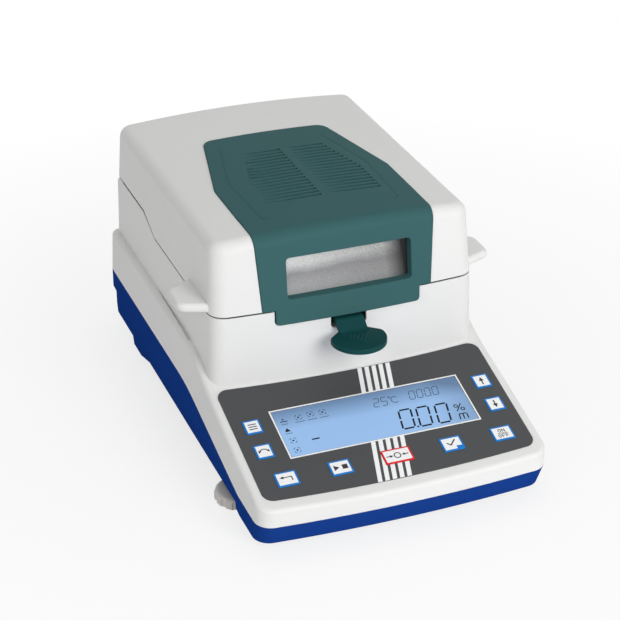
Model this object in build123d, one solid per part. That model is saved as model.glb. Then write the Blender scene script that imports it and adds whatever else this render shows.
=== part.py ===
from build123d import *
import os
from math import cos, radians, sin, tan

# Halogen moisture analyzer: a weighing cell under a heated chamber with a hinged lid.
# Millimetres. X to the right seen from the front, Y to the rear, Z up, origin on the
# surface it stands on, under the middle of its bounding box.

# Overall form
DEPTH = 366.5
HEIGHT = 180.0
EAR_SPAN = 240.0
FRONT = -DEPTH / 2
REAR = DEPTH / 2
WALL = 2.5
BOW = 4.7                    # the fronts bulge this much over 100 mm of half width
PART_GAP = 1.2               # between the lid and the housing

# Lower body
SEAM_HALF = 108.0            # half width where the housing meets the tray
TRAY_HALF = 106.9            # half width at the tray's lower edge
SEAM_REAR_Z = 49.0
SEAM_FRONT_Z = 22.8
SEAM_BEND_REAR = -19.5
SEAM_BEND_FRONT = -133.4
TRAY_FRONT_Z = 6.0           # lower edge of the tray at the front
TRAY_FLOOR_Z = 13.5          # lower face of the tray's floor
TRAY_TUCK = 6.8              # the front face leans in by this much at the bottom
FRONT_CORNER = 12.4
REAR_CORNER = 7.0
REAR_STEP_Y = 168.5
REAR_STEP_Z = 33.0
BOSS_FRONT = 87.5
BOSS_REAR = 125.5
BOSS_Z = 6.2

# Deck with the keypad
DECK_TILT = 15.14
DECK_Y = FRONT + 11.5        # where the deck plane is DECK_Z high
DECK_Z = 38.36
LEDGE_Z = 83.0
LEDGE_HALF_DRAFT = 2.6
LEDGE_BEND_LOW = -66.0
LEDGE_BEND_HIGH = -34.0
CREASE_DEPTH = 1.9
CREASE_W = 2.6
CREASE_REAR_Y = 72.0
CREASE_FRONT_Y = -14.0
OVERLAY_HALF = 101.0
OVERLAY_LOW = -2.4
OVERLAY_HIGH = 104.6
OVERLAY_T = 0.5
WINDOW_X = 0.9
WINDOW_SIZE = (141.4, 43.9)
WINDOW_V = 57.05
BEZEL = 2.5

# Chamber block of the housing
SPLIT_Z = 121.95             # middle of the gap between lid and housing
SPLIT_REAR_Z = 132.2
SPLIT_STEP_FRONT = 74.5
SPLIT_STEP_REAR = 104.0
CHAMBER_HALF = 100.2
CHAMBER_FRONT = -67.4
CHAMBER_REAR = REAR - 2.05
CHAMBER_DRAFT = 1.6
CHAMBER_DECK_Z = 100.5
REAR_DECK_Z = 128.6
REAR_DECK_Y = 106.0

# Lid
LID_TOP_HALF = 97.2
LID_TOP_FRONT = -59.6
LID_TOP_REAR = CHAMBER_REAR - 4.6
LID_CROWN = 4.9              # the top falls this much over 100 mm of half width
LID_EDGE = 9.0
PANEL_PROUD = 0.9
PANEL_FIT = 0.3
PANEL_HALF = 67.8
PANEL_HALF_LOW = 64.0
PANEL_KINK_Y = 24.5
PANEL_REAR_Y = 110.0
PANEL_REAR_HALF = 48.8
TAB_HALF = 54.6
TAB_Z = 111.3
TAB_FIT = 0.8
TAB_CORNER = 3.0
GLASS_X = 1.7
GLASS_W = 95.0
GLASS_SILL = 7.25            # from the middle of the gap up to the opening
GLASS_HEAD = 19.4            # from the opening up to the top
GLASS_DEPTH = 6.5
GLASS_T = 3.0
SLOT_PITCH = 5.35
SLOT_COUNT = 17
SLOT_W = 2.6
SLOT_FRONT_Y = -12.0

# Hinge
HINGE_Y = CHAMBER_REAR - 4.4
HINGE_Z = 132.2
HINGE_X = 72.0
PIN_R = 1.75
KNUCKLE_R = 3.8
KNUCKLE_RELIEF = 5.3
KNUCKLE_HALF = 8.0
LEAF_HALF = 14.5
RUNNING = 0.05

# Weighing train
PAN_Y = 8.0
PAN_R = 46.0
PAN_FLOOR_R = 41.0
PAN_RIM_R = 49.5
PAN_FLOOR_Z = 101.3
PAN_H = 7.9
PAN_T = 0.8
WELL_R = 60.0
WELL_FLOOR_Z = 84.2
FLOOR_PLATE_T = 1.2
SHIELD_R = 58.0
SHIELD_T = 1.5
SHIELD_H = 14.5
STEM_R = 4.0
STEM_HOLE_R = 12.0
CARRIER_TRAVEL = 0.3
REST_GAP = 0.3
CELL_Z = 40.0
CELL_SIZE = (30.0, 130.0, 22.0)
LIFTER_T = 3.2
LIFTER_IN_R = 47.6
LIFTER_OUT_R = 57.4
NECK_HALF = 10.6
GRIP_FRONT_Y = -106.5
GRIP_WIDEST_Y = -82.0
GRIP_R = 19.8
GRIP_Z = 101.8
GRIP_T = 3.6
NECK_TOP_Z = 108.9
NOTCH_Z = 101.4

# Keys: name, place across and up the deck, width
KEY_H = 12.9
KEY_PROUD = 0.5
KEY_TRAVEL = 0.5
KEY_GAP = 0.2
KEY_FLANGE = 0.9
KEYS = {
    "key_menu": (-86.5, 68.9, 12.4),
    "key_swap_unit": (-86.5, 45.2, 12.4),
    "key_escape": (-79.8, 17.3, 15.8),
    "key_start_stop": (-40.7, 17.3, 15.8),
    "key_tare": (1.4, 17.3, 21.3),
    "key_enter": (42.7, 17.3, 15.8),
    "key_on_off": (81.6, 17.3, 15.8),
    "key_up": (88.6, 68.9, 12.4),
    "key_down": (88.6, 45.2, 12.4),
}

# Feet
FOOT_X = 96.5
FOOT_Y = -105.3
WHEEL_R = 18.5
WHEEL_LOW = 1.8
WHEEL_H = 7.4
WHEEL_POCKET = 21.0
FLUTE_R = 3.0
FLUTE_COUNT = 12
PIN_FOOT_R = 1.8             # the pad's pin, inside the wheel
STUD_R = 3.0
PAD_R = 8.0
REAR_FOOT = (88.0, 114.5, 9.0)
BUSH_R = 5.5

# Rear panel
INLET_X = -55.0
PORT_X = 38.0
SOCKET_Z = 104.0
INLET_FLANGE = (31.0, 38.0)
INLET_BODY = (27.0, 34.0, 26.0)
INLET_MOUTH = (24.4, 16.4, 17.0)
INLET_MOUTH_DZ = -6.5
DRAWER = (22.0, 8.0, 18.0)
DRAWER_DZ = 9.5


def save(name, solid):
    """Write one piece as parts/NAME.step."""
    solid.label = name
    export_step(solid, f"parts/{name}.step")
    return solid


def block(x, y, z):
    """A box from three (low, high) pairs."""
    return Pos((x[0] + x[1]) / 2, (y[0] + y[1]) / 2, (z[0] + z[1]) / 2) * Box(
        x[1] - x[0], y[1] - y[0], z[1] - z[0])


def upright(r, x, y, z0, z1):
    """A round bar that stands on z0."""
    return Pos(x, y, z0) * Cylinder(r, z1 - z0, align=(Align.CENTER, Align.CENTER, Align.MIN))


def crossbar(r, x0, x1, y, z):
    """A round bar along X."""
    return Pos((x0 + x1) / 2, y, z) * Rot(0, 90, 0) * Cylinder(r, x1 - x0)


def side_slab(points, radii=None, half=130.0):
    """A profile in Y and Z, swept across the full width, with rounded corners where given."""
    face = make_face(Plane.YZ * Polyline(*points, close=True))
    for index, radius in (radii or {}).items():
        y, z = points[index]
        corner = face.vertices().sort_by_distance((0, y, z))[0]
        face = fillet(corner, radius)
    return extrude(face, half, both=True)


def plan(half, front, rear, z, front_r=FRONT_CORNER, rear_r=REAR_CORNER):
    """The plan outline at height z: a bowed front, straight sides and rear, round corners."""
    side_y = front + BOW * (half / 100) ** 2
    outline = [
        ThreePointArc((-half, side_y), (0, front), (half, side_y)),
        Line((half, side_y), (half, rear)),
        Line((half, rear), (-half, rear)),
        Line((-half, rear), (-half, side_y)),
    ]
    face = make_face(outline)
    face = fillet(face.vertices().sort_by(Axis.Y)[:2], front_r)
    face = fillet(face.vertices().sort_by(Axis.Y)[-2:], rear_r)
    return Pos(0, 0, z) * face


def between(low, high):
    """The solid between two plan outlines, with straight walls."""
    return loft([low, high], ruled=True)


def deck_height(y):
    return DECK_Z + (y - DECK_Y) * tan(radians(DECK_TILT))


def seam(offset=0.0):
    """The line where the housing meets the tray, from the rear to the front."""
    return [(REAR + 10, SEAM_REAR_Z + offset), (SEAM_BEND_REAR, SEAM_REAR_Z + offset),
            (SEAM_BEND_FRONT, SEAM_FRONT_Z + 0.5 + offset), (FRONT - 10, SEAM_FRONT_Z + offset)]


def split(offset):
    """The stepped line between the lid and the housing, from the front to the rear."""
    return [(FRONT, SPLIT_Z + offset), (SPLIT_STEP_FRONT, SPLIT_Z + offset),
            (SPLIT_STEP_REAR, SPLIT_REAR_Z + offset), (REAR + 10, SPLIT_REAR_Z + offset)]


deck_plane = Plane(origin=(0, DECK_Y, DECK_Z), x_dir=(1, 0, 0),
                   z_dir=(0, -sin(radians(DECK_TILT)), cos(radians(DECK_TILT))))


def on_deck(shape):
    return deck_plane.location * shape


def deck_block(x, v, size, low, high, radius=0.0):
    """A rounded rectangular block on the deck, from low to high along the deck's normal."""
    outline = RectangleRounded(*size, radius) if radius else Rectangle(*size)
    return on_deck(Pos(x, v, low) * extrude(outline, high - low))


# Tray

def tray_form(inset):
    """The lower body, from below its feet to above the seam, moved in by inset."""
    low = plan(TRAY_HALF - inset, FRONT + TRAY_TUCK + inset, REAR - 1.0 - inset, TRAY_FRONT_Z,
               FRONT_CORNER - inset, REAR_CORNER - inset)
    mid = plan(SEAM_HALF - inset, FRONT + inset, REAR - inset, SEAM_FRONT_Z,
               FRONT_CORNER - inset, REAR_CORNER - inset)
    top = plan(SEAM_HALF - inset, FRONT + inset, REAR - inset, SEAM_REAR_Z + 1,
               FRONT_CORNER - inset, REAR_CORNER - inset)
    return between(low, mid) + between(mid, top)


def tray_underside(lift):
    """The underside, lifted by lift, from the front to the rear."""
    return [(FRONT - 10, TRAY_FRONT_Z + lift), (SEAM_BEND_FRONT, TRAY_FRONT_Z + lift),
            (-107.0, TRAY_FLOOR_Z + lift), (75.0, TRAY_FLOOR_Z + lift),
            (REAR_STEP_Y - lift, TRAY_FLOOR_Z + lift), (REAR_STEP_Y - lift, REAR_STEP_Z + lift),
            (REAR + 10, REAR_STEP_Z + 2 + lift)]


def foot_sites():
    return [(-FOOT_X, FOOT_Y), (FOOT_X, FOOT_Y)]


seam_radii = {-3: 170.0, -2: 25.0}
tray_outer = tray_form(0) & side_slab(tray_underside(0) + seam(), seam_radii)
tray_inner = tray_form(WALL) & side_slab(tray_underside(WALL) + seam(5))
base_tray = tray_outer - tray_inner
boss_profile = side_slab([(BOSS_FRONT - 12, TRAY_FLOOR_Z + 1), (BOSS_FRONT + 17, BOSS_Z),
                          (BOSS_REAR - 1, BOSS_Z), (BOSS_REAR, TRAY_FLOOR_Z + 1)])
for side in (-1, 1):
    skirt = block(sorted((side * (TRAY_HALF - 34), side * SEAM_HALF)),
                  (BOSS_FRONT - 13, BOSS_REAR + 1), (BOSS_Z - 1, TRAY_FLOOR_Z + 1))
    base_tray += boss_profile & skirt & tray_form(0)
for x, y in foot_sites():
    base_tray += upright(BUSH_R + 3, x, y, TRAY_FLOOR_Z, TRAY_FLOOR_Z + 20) & tray_form(0.5)
for x, y in foot_sites():
    base_tray -= Pos(x, y, TRAY_FLOOR_Z / 2) * Box(2 * WHEEL_POCKET, 2 * WHEEL_POCKET, TRAY_FLOOR_Z + 0.2)
    base_tray -= upright(BUSH_R, x, y, TRAY_FLOOR_Z - 1, TRAY_FLOOR_Z + 12)
    base_tray -= upright(STUD_R + 1, x, y, TRAY_FLOOR_Z - 1, TRAY_FLOOR_Z + 18)
save("base_tray", base_tray)

bushes = Compound([upright(BUSH_R, x, y, TRAY_FLOOR_Z + 0.1, TRAY_FLOOR_Z + 12)
                   - upright(STUD_R + RUNNING, x, y, TRAY_FLOOR_Z, TRAY_FLOOR_Z + 13)
                   for x, y in foot_sites()])
save("foot_bushes", bushes)

rear_x, rear_y, rear_r = REAR_FOOT
rear_foot = upright(rear_r, 0, 0, 0, BOSS_Z)
rear_foot = fillet(rear_foot.edges().group_by(Axis.Z)[0], 1.0)
save("rear_feet", Compound([Pos(x, rear_y, 0) * rear_foot for x in (-rear_x, rear_x)]))

# Front levelling feet: a pad that doesn't turn, and a fluted wheel with its threaded stud
for name, (x, y) in zip(("left", "right"), foot_sites()):
    pad = upright(PAD_R, x, y, 0, WHEEL_LOW - REST_GAP)
    pad = fillet(pad.edges().group_by(Axis.Z)[0], 0.8)
    save(f"{name}_foot_pad", pad + upright(PIN_FOOT_R, x, y, WHEEL_LOW - REST_GAP, WHEEL_LOW + 4))
    wheel_top = WHEEL_LOW + WHEEL_H
    wheel = upright(WHEEL_R, 0, 0, WHEEL_LOW, wheel_top)
    wheel = fillet(wheel.edges().group_by(Axis.Z)[-1], 3.6)
    wheel = fillet(wheel.edges().group_by(Axis.Z)[0], 1.2)
    for flute in PolarLocations(WHEEL_R + 1.3, FLUTE_COUNT):
        wheel -= flute * upright(FLUTE_R, 0, 0, 0, wheel_top + 1)
    wheel -= upright(PIN_FOOT_R + RUNNING, 0, 0, 0, WHEEL_LOW + 4.3)
    save(f"{name}_foot_wheel", Pos(x, y, 0) * wheel)
    save(f"{name}_foot_stud", upright(STUD_R, x, y, wheel_top, TRAY_FLOOR_Z + 14))

# Housing: the keypad deck in front, side ledges, and the chamber block

def ledge_line(offset):
    """Top of the lower housing, from the front to the rear: the deck, then the side ledges."""
    drop = offset / cos(radians(DECK_TILT))
    return [(FRONT - 10, deck_height(FRONT - 10) + drop),
            (LEDGE_BEND_LOW, deck_height(LEDGE_BEND_LOW) + drop),
            (LEDGE_BEND_HIGH, LEDGE_Z - 3.0 + offset), (0.0, LEDGE_Z + offset),
            (REAR + 10, LEDGE_Z + offset)]


def lower_housing(inset):
    r_front, r_rear = FRONT_CORNER - inset, REAR_CORNER - inset
    low = plan(SEAM_HALF - inset, FRONT + inset, REAR - inset, SEAM_FRONT_Z - 2, r_front, r_rear)
    mid = plan(SEAM_HALF - inset, FRONT + inset, REAR - inset, SEAM_REAR_Z, r_front, r_rear)
    lean = 90 - SEAM_REAR_Z
    top = plan(SEAM_HALF - inset - lean * tan(radians(LEDGE_HALF_DRAFT)), FRONT + inset + 2,
               REAR - inset - 1.0, 90, r_front, r_rear)
    return between(low, mid) + between(mid, top)


def chamber_block(inset, low=40.0, high=140.0):
    """The upright walls round the chamber, moved in by inset."""
    slope = tan(radians(CHAMBER_DRAFT))
    faces = []
    for z in (low, high):
        grow = (SPLIT_Z - z) * slope
        faces.append(plan(CHAMBER_HALF + grow - inset, CHAMBER_FRONT - grow + inset,
                          CHAMBER_REAR - inset, z, FRONT_CORNER - inset, REAR_CORNER - inset))
    return between(*faces)


lower_outer = lower_housing(0) & side_slab(seam(0.15)[::-1] + ledge_line(0)[::-1],
                                           {1: 25.0, 2: 170.0, -2: 30.0, -3: 60.0, -4: 60.0})
top_edges = [e for e in lower_outer.edges()
             if e.center().Z > deck_height(e.center().Y) - 4.0 and e.center().Z > 30
             and abs(e.center().X) <= SEAM_HALF]
lower_outer = fillet(top_edges, 3.5)
block_low = SEAM_REAR_Z + 3
chamber_outer = chamber_block(0) & side_slab(
    [(FRONT, block_low), *split(-PART_GAP / 2), (REAR + 10, block_low)])
housing = lower_outer + chamber_outer

# A tapering crease on each side, where the ledge leaves the chamber's wall
crease_layer = side_slab(ledge_line(-CREASE_DEPTH) + ledge_line(20)[::-1])
for side in (-1, 1):
    wall_x = side * (CHAMBER_HALF + (SPLIT_Z - LEDGE_Z) * tan(radians(CHAMBER_DRAFT)))
    crease = make_face(Polyline((wall_x - side, CREASE_REAR_Y), (wall_x - side, CREASE_FRONT_Y),
                                (wall_x + side * CREASE_W, CREASE_FRONT_Y), (wall_x, CREASE_REAR_Y),
                                close=True))
    housing -= (extrude(crease, HEIGHT) & crease_layer) - chamber_outer

lower_inner = lower_housing(WALL) & side_slab(
    [(REAR + 10, 0), (FRONT - 10, 0)] + ledge_line(-WALL))
rear_box = chamber_block(WALL) & block((-120, 120), (REAR_DECK_Y, REAR), (30, REAR_DECK_Z - WALL))
under_deck = chamber_block(WALL) & block((-120, 120), (FRONT, REAR_DECK_Y + 1),
                                         (30, CHAMBER_DECK_Z - WALL))
chamber_space = chamber_block(WALL) & block((-120, 120), (FRONT, REAR_DECK_Y - WALL),
                                            (CHAMBER_DECK_Z, 140))
rear_recess = chamber_block(WALL) & block((-120, 120), (REAR_DECK_Y - WALL - 1, HINGE_Y - 8),
                                          (REAR_DECK_Z, 140))
housing = housing - lower_inner - rear_box - under_deck - chamber_space - rear_recess

well = upright(WELL_R + 2.2, 0, PAN_Y, WELL_FLOOR_Z - 2.2, CHAMBER_DECK_Z)
housing += well
housing -= upright(WELL_R, 0, PAN_Y, WELL_FLOOR_Z, CHAMBER_DECK_Z + 1)
housing -= upright(STEM_HOLE_R, 0, PAN_Y, WELL_FLOOR_Z - 5, WELL_FLOOR_Z + 1)

# Relief round the lid's hinge line, and the knuckles that stand in it
housing -= crossbar(KNUCKLE_RELIEF, -SEAM_HALF, SEAM_HALF, HINGE_Y, HINGE_Z)
for side in (-1, 1):
    x0, x1 = sorted((side * (HINGE_X - KNUCKLE_HALF), side * (HINGE_X + KNUCKLE_HALF)))
    knuckle = crossbar(KNUCKLE_R, x0, x1, HINGE_Y, HINGE_Z)
    knuckle += block((x0, x1), (HINGE_Y - KNUCKLE_R, HINGE_Y + KNUCKLE_R), (120, HINGE_Z))
    housing += knuckle & block((x0, x1), (HINGE_Y - 8, CHAMBER_REAR - 0.5), (120, 140))
    housing -= crossbar(PIN_R, x0 - 1, x1 + 1, HINGE_Y, HINGE_Z)

# Notch for the lid's tab, and the slot that the pan lifter's neck comes out of
tab_notch = block((-TAB_HALF - TAB_FIT, TAB_HALF + TAB_FIT), (CHAMBER_FRONT - 6, CHAMBER_FRONT + 8),
                  (TAB_Z - TAB_FIT, SPLIT_Z + 2))
tab_notch = fillet(tab_notch.edges().filter_by(Axis.Y).group_by(Axis.Z)[0], TAB_CORNER + TAB_FIT)
neck_slot = Pos(0, CHAMBER_FRONT, (NOTCH_Z + TAB_Z) / 2 + 3) * Rot(90, 0, 0) * extrude(
    RectangleRounded(2 * NECK_HALF + 6, TAB_Z - NOTCH_Z + 6, 3), 8, both=True)
housing = housing - tab_notch - neck_slot

# Openings in the deck: the display window with its rebate, and the key holes
housing -= deck_block(WINDOW_X, WINDOW_V, WINDOW_SIZE, -1.0, 1.0, 1.0)
housing -= deck_block(WINDOW_X, WINDOW_V, (WINDOW_SIZE[0] - 2 * BEZEL, WINDOW_SIZE[1] - 2 * BEZEL),
                      -WALL - 2, 1)
for x, v, width in KEYS.values():
    housing -= deck_block(x, v, (width + 2 * KEY_GAP, KEY_H + 2 * KEY_GAP), -WALL - 2, 1, 1.0)

# Rear sockets' cut-outs
housing -= Pos(INLET_X, CHAMBER_REAR, SOCKET_Z) * Box(INLET_BODY[0] + 0.6, 20, INLET_BODY[1] + 0.6)
housing -= Pos(PORT_X, CHAMBER_REAR, SOCKET_Z) * Box(20.2, 20, 11.6)

# Posts under the deck for the board
BOARD_LOW, BOARD_T = -9.6, 1.6
BOARD_V = 52.0
BOARD_SIZE = (196.0, 96.0)
POSTS = [(sx * 93.0, BOARD_V + sv * 43.0) for sx in (-1, 1) for sv in (-1, 1)]
for x, v in POSTS:
    housing += on_deck(Pos(x, v, BOARD_LOW + BOARD_T) * Cylinder(
        3.0, -BOARD_LOW - BOARD_T - 1, align=(Align.CENTER, Align.CENTER, Align.MIN)))
LEVEL_X, LEVEL_Y, LEVEL_R = -80.0, -46.0, 7.0
housing -= upright(LEVEL_R + 0.1, LEVEL_X, LEVEL_Y, CHAMBER_DECK_Z - 4, CHAMBER_DECK_Z + 1)
save("main_housing", housing)

level = upright(LEVEL_R, LEVEL_X, LEVEL_Y, CHAMBER_DECK_Z - 4, CHAMBER_DECK_Z)
level += upright(LEVEL_R + 1.8, LEVEL_X, LEVEL_Y, CHAMBER_DECK_Z, CHAMBER_DECK_Z + 1.6)
save("spirit_level", level - upright(LEVEL_R - 1.5, LEVEL_X, LEVEL_Y, CHAMBER_DECK_Z + 0.9,
                                     CHAMBER_DECK_Z + 3))

# Keypad film, keys, display and board
film_low = OVERLAY_LOW
film_points = [
    ThreePointArc((-OVERLAY_HALF, film_low + 4.3), (0, film_low), (OVERLAY_HALF, film_low + 4.3)),
    Line((OVERLAY_HALF, film_low + 4.3), (OVERLAY_HALF, OVERLAY_HIGH + 4.5)),
    ThreePointArc((OVERLAY_HALF, OVERLAY_HIGH + 4.5), (0, OVERLAY_HIGH),
                  (-OVERLAY_HALF, OVERLAY_HIGH + 4.5)),
    Line((-OVERLAY_HALF, OVERLAY_HIGH + 4.5), (-OVERLAY_HALF, film_low + 4.3)),
]
film = make_face(film_points)
film = fillet(film.vertices(), 8.0)
film = on_deck(extrude(film, OVERLAY_T))
film -= deck_block(WINDOW_X, WINDOW_V, WINDOW_SIZE, -1.0, 2.0, 1.0)
for x, v, width in KEYS.values():
    film -= deck_block(x, v, (width + 2 * KEY_GAP, KEY_H + 2 * KEY_GAP), -1.0, 2.0, 1.0)
save("keypad_overlay", film)

KEY_FOOT = -WALL - 0.9
for name, (x, v, width) in KEYS.items():
    cap = deck_block(x, v, (width, KEY_H), KEY_FOOT, OVERLAY_T + KEY_PROUD, 0.9)
    cap = fillet(cap.faces().sort_by(Axis.Z)[-1].edges(), 0.3)
    cap += deck_block(x, v, (width + 2 * KEY_FLANGE, KEY_H + 2 * KEY_FLANGE),
                      KEY_FOOT, -WALL - REST_GAP, 1.0)
    save(name, cap)

SWITCH_TOP = KEY_FOOT - KEY_TRAVEL - 0.15
switches = []
for x, v, width in KEYS.values():
    switches.append(deck_block(x, v, (6.0, 6.0), BOARD_LOW + BOARD_T, SWITCH_TOP - 0.8)
                    + on_deck(Pos(x, v, SWITCH_TOP - 1.0) * extrude(Circle(1.7), 1.0)))
save("key_switches", Compound(switches))

board = deck_block(0, BOARD_V, BOARD_SIZE, BOARD_LOW, BOARD_LOW + BOARD_T, 2.0)
save("control_board", board)

LENS_FIT = 0.15
save("display_window", deck_block(WINDOW_X, WINDOW_V, (WINDOW_SIZE[0] - 2 * LENS_FIT,
                                                       WINDOW_SIZE[1] - 2 * LENS_FIT),
                                  -1.0, 0.4, 0.9))
display = deck_block(WINDOW_X, WINDOW_V, (WINDOW_SIZE[0] + 5, WINDOW_SIZE[1] + 2),
                     BOARD_LOW + BOARD_T, -WALL - 0.1)
save("display_module", display)

# Weighing cell: a bored aluminium beam on its mount, fixed at the rear
cell_w, cell_l, cell_h = CELL_SIZE
cell_front = PAN_Y - 15.0
cell = block((-cell_w / 2, cell_w / 2), (cell_front, cell_front + cell_l), (CELL_Z, CELL_Z + cell_h))
cell_mid = cell_front + cell_l / 2
for dy in (-18.0, 18.0):
    cell -= crossbar(8.6, -cell_w, cell_w, cell_mid + dy, CELL_Z + cell_h / 2)
cell -= block((-cell_w, cell_w), (cell_mid - 18, cell_mid + 18),
              (CELL_Z + cell_h / 2 - 2, CELL_Z + cell_h / 2 + 2))
STEM_SEAT = CELL_Z + cell_h
cell -= upright(STEM_R + RUNNING, 0, PAN_Y, STEM_SEAT - 12, STEM_SEAT + 1)
save("load_cell", cell)
cell_rear = cell_front + cell_l
mount = block((-26, 26), (cell_rear - 36, cell_rear + 8), (TRAY_FLOOR_Z + WALL, TRAY_FLOOR_Z + WALL + 5))
mount += block((-cell_w / 2, cell_w / 2), (cell_rear - 30, cell_rear), (TRAY_FLOOR_Z + WALL, CELL_Z))
save("load_cell_mount", mount)
save("load_cell_screws", Compound([
    upright(4.5, x, cell_rear - 15 + dy, STEM_SEAT, STEM_SEAT + 4)
    for x in (-8, 8) for dy in (-8, 8)]))

# Chamber: floor plate, draught shield, pan carrier, pan and pan lifter
plate_top = WELL_FLOOR_Z + FLOOR_PLATE_T
save("chamber_floor", upright(WELL_R - 0.4, 0, PAN_Y, WELL_FLOOR_Z, plate_top)
     - upright(STEM_R + 4, 0, PAN_Y, WELL_FLOOR_Z - 1, plate_top + 1))
shield_top = plate_top + SHIELD_H
shield = (upright(SHIELD_R, 0, PAN_Y, plate_top, shield_top)
          - upright(SHIELD_R - SHIELD_T, 0, PAN_Y, plate_top - 1, shield_top + 1))
save("draught_shield", shield)

arm_top = PAN_FLOOR_Z - REST_GAP
carrier = upright(STEM_R, 0, PAN_Y, STEM_SEAT - 11, arm_top)
carrier += upright(STEM_R + 3, 0, PAN_Y, STEM_SEAT + CARRIER_TRAVEL + 0.1, STEM_SEAT + 6)
carrier += upright(9.0, 0, PAN_Y, arm_top - 6, arm_top)
for angle in (90, 210, 330):
    arm = block((0, PAN_FLOOR_R - 5), (-3.5, 3.5), (arm_top - 2.4, arm_top))
    arm += upright(4.5, PAN_FLOOR_R - 5, 0, arm_top - 2.4, arm_top)
    carrier += Pos(0, PAN_Y, 0) * Rot(0, 0, angle) * arm
save("pan_carrier", carrier)

pan_top = PAN_FLOOR_Z + PAN_H
pan_profile = make_face(Plane.XZ * Polyline(
    (0, PAN_FLOOR_Z), (PAN_FLOOR_R, PAN_FLOOR_Z), (PAN_R, pan_top - PAN_T),
    (PAN_RIM_R, pan_top - PAN_T), (PAN_RIM_R, pan_top), (PAN_R - PAN_T, pan_top),
    (PAN_FLOOR_R - PAN_T / 2, PAN_FLOOR_Z + PAN_T), (0, PAN_FLOOR_Z + PAN_T), close=True))
save("sample_pan", Pos(0, PAN_Y, 0) * revolve(pan_profile, Axis.Z))

ring_low = shield_top + REST_GAP
lifter = (upright(LIFTER_OUT_R, 0, PAN_Y, ring_low, ring_low + LIFTER_T)
          - upright(LIFTER_IN_R, 0, PAN_Y, ring_low - 1, ring_low + LIFTER_T + 1))
neck_front = CHAMBER_FRONT - 8
neck_rear = PAN_Y - LIFTER_OUT_R + 3
neck = side_slab([(neck_rear, ring_low), (neck_rear, ring_low + LIFTER_T),
                  (-56.0, NECK_TOP_Z), (CHAMBER_FRONT - 1, NECK_TOP_Z - 0.6),
                  (neck_front - 3, GRIP_Z), (GRIP_WIDEST_Y - 8, GRIP_Z),
                  (GRIP_WIDEST_Y - 8, GRIP_Z - GRIP_T), (neck_front - 5, GRIP_Z - GRIP_T),
                  (CHAMBER_FRONT - 2, NECK_TOP_Z - 5.0), (-56.0, NECK_TOP_Z - 4.4)],
                 {3: 5.0, 4: 9.0, 7: 6.0}, half=NECK_HALF)
grip = make_face([
    Line((-NECK_HALF, neck_front + 1), (NECK_HALF, neck_front + 1)),
    Line((NECK_HALF, neck_front + 1), (GRIP_R, GRIP_WIDEST_Y)),
    ThreePointArc((GRIP_R, GRIP_WIDEST_Y), (0, GRIP_FRONT_Y), (-GRIP_R, GRIP_WIDEST_Y)),
    Line((-GRIP_R, GRIP_WIDEST_Y), (-NECK_HALF, neck_front + 1)),
])
grip = extrude(fillet(grip.vertices().sort_by(Axis.Y)[:2], 6.0), GRIP_T)
grip = Pos(0, 0, GRIP_Z - GRIP_T) * fillet(grip.faces().sort_by(Axis.Z)[-1].edges(), 0.8)
lifter = lifter + neck + grip
save("pan_lifter", lifter)

# Lid

def lid_form(grow):
    """The lid's outer form moved out by grow: bowed front, leaning walls, arched top."""
    low_z, high_z = 104.0, HEIGHT + 4
    span = high_z - SPLIT_Z
    faces = []
    for z in (low_z, high_z):
        part = (z - SPLIT_Z) / span
        faces.append(plan(
            CHAMBER_HALF + (LID_TOP_HALF - CHAMBER_HALF) * part + grow,
            CHAMBER_FRONT + (LID_TOP_FRONT - CHAMBER_FRONT) * part - grow,
            CHAMBER_REAR + (LID_TOP_REAR - CHAMBER_REAR) * part + grow, z,
            FRONT_CORNER + grow, REAR_CORNER + 3 + grow))
    top = HEIGHT - PANEL_PROUD + grow
    edge_top = top - LID_CROWN * 1.2 ** 2
    arch = make_face(Plane.XZ * Wire([
        ThreePointArc((-120, edge_top), (0, top), (120, edge_top)),
        *Polyline((120, edge_top), (120, low_z - 1), (-120, low_z - 1), (-120, edge_top)).edges(),
    ]))
    form = between(*faces) & extrude(arch, 250, both=True)
    rim = form.faces().sort_by(Axis.Z)[-1].edges()
    return fillet(rim, LID_EDGE + grow)


def panel_outline(fit):
    """The prism that holds the coloured panel: its outline from above and from the front."""
    half, low_half = PANEL_HALF + fit, PANEL_HALF_LOW + fit
    top_face = make_face(Polyline(
        (-half, -28), (-half, PANEL_KINK_Y), (-PANEL_REAR_HALF - fit, PANEL_REAR_Y + fit),
        (PANEL_REAR_HALF + fit, PANEL_REAR_Y + fit), (half, PANEL_KINK_Y), (half, -28), close=True))
    top_face = fillet(top_face.vertices().sort_by(Axis.Y)[-2:], 9.0)
    top_prism = Pos(0, 0, HEIGHT - 30) * extrude(top_face, 40)
    front_face = make_face(Plane.XZ * Polyline(
        (-half, HEIGHT), (-low_half, SPLIT_Z + PART_GAP / 2 - fit),
        (low_half, SPLIT_Z + PART_GAP / 2 - fit), (half, HEIGHT), (half, HEIGHT + 10),
        (-half, HEIGHT + 10), close=True))
    return top_prism + Pos(0, -28, 0) * extrude(front_face, 60)


lid_outer = lid_form(0)
lid_cavity = lid_form(-WALL)
lid_cut = side_slab([*split(PART_GAP / 2), (REAR + 10, HEIGHT + 10), (FRONT, HEIGHT + 10)])
lid_skin = (lid_outer - lid_cavity) & lid_cut
lid_shell = lid_skin - panel_outline(PANEL_FIT)

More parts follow.
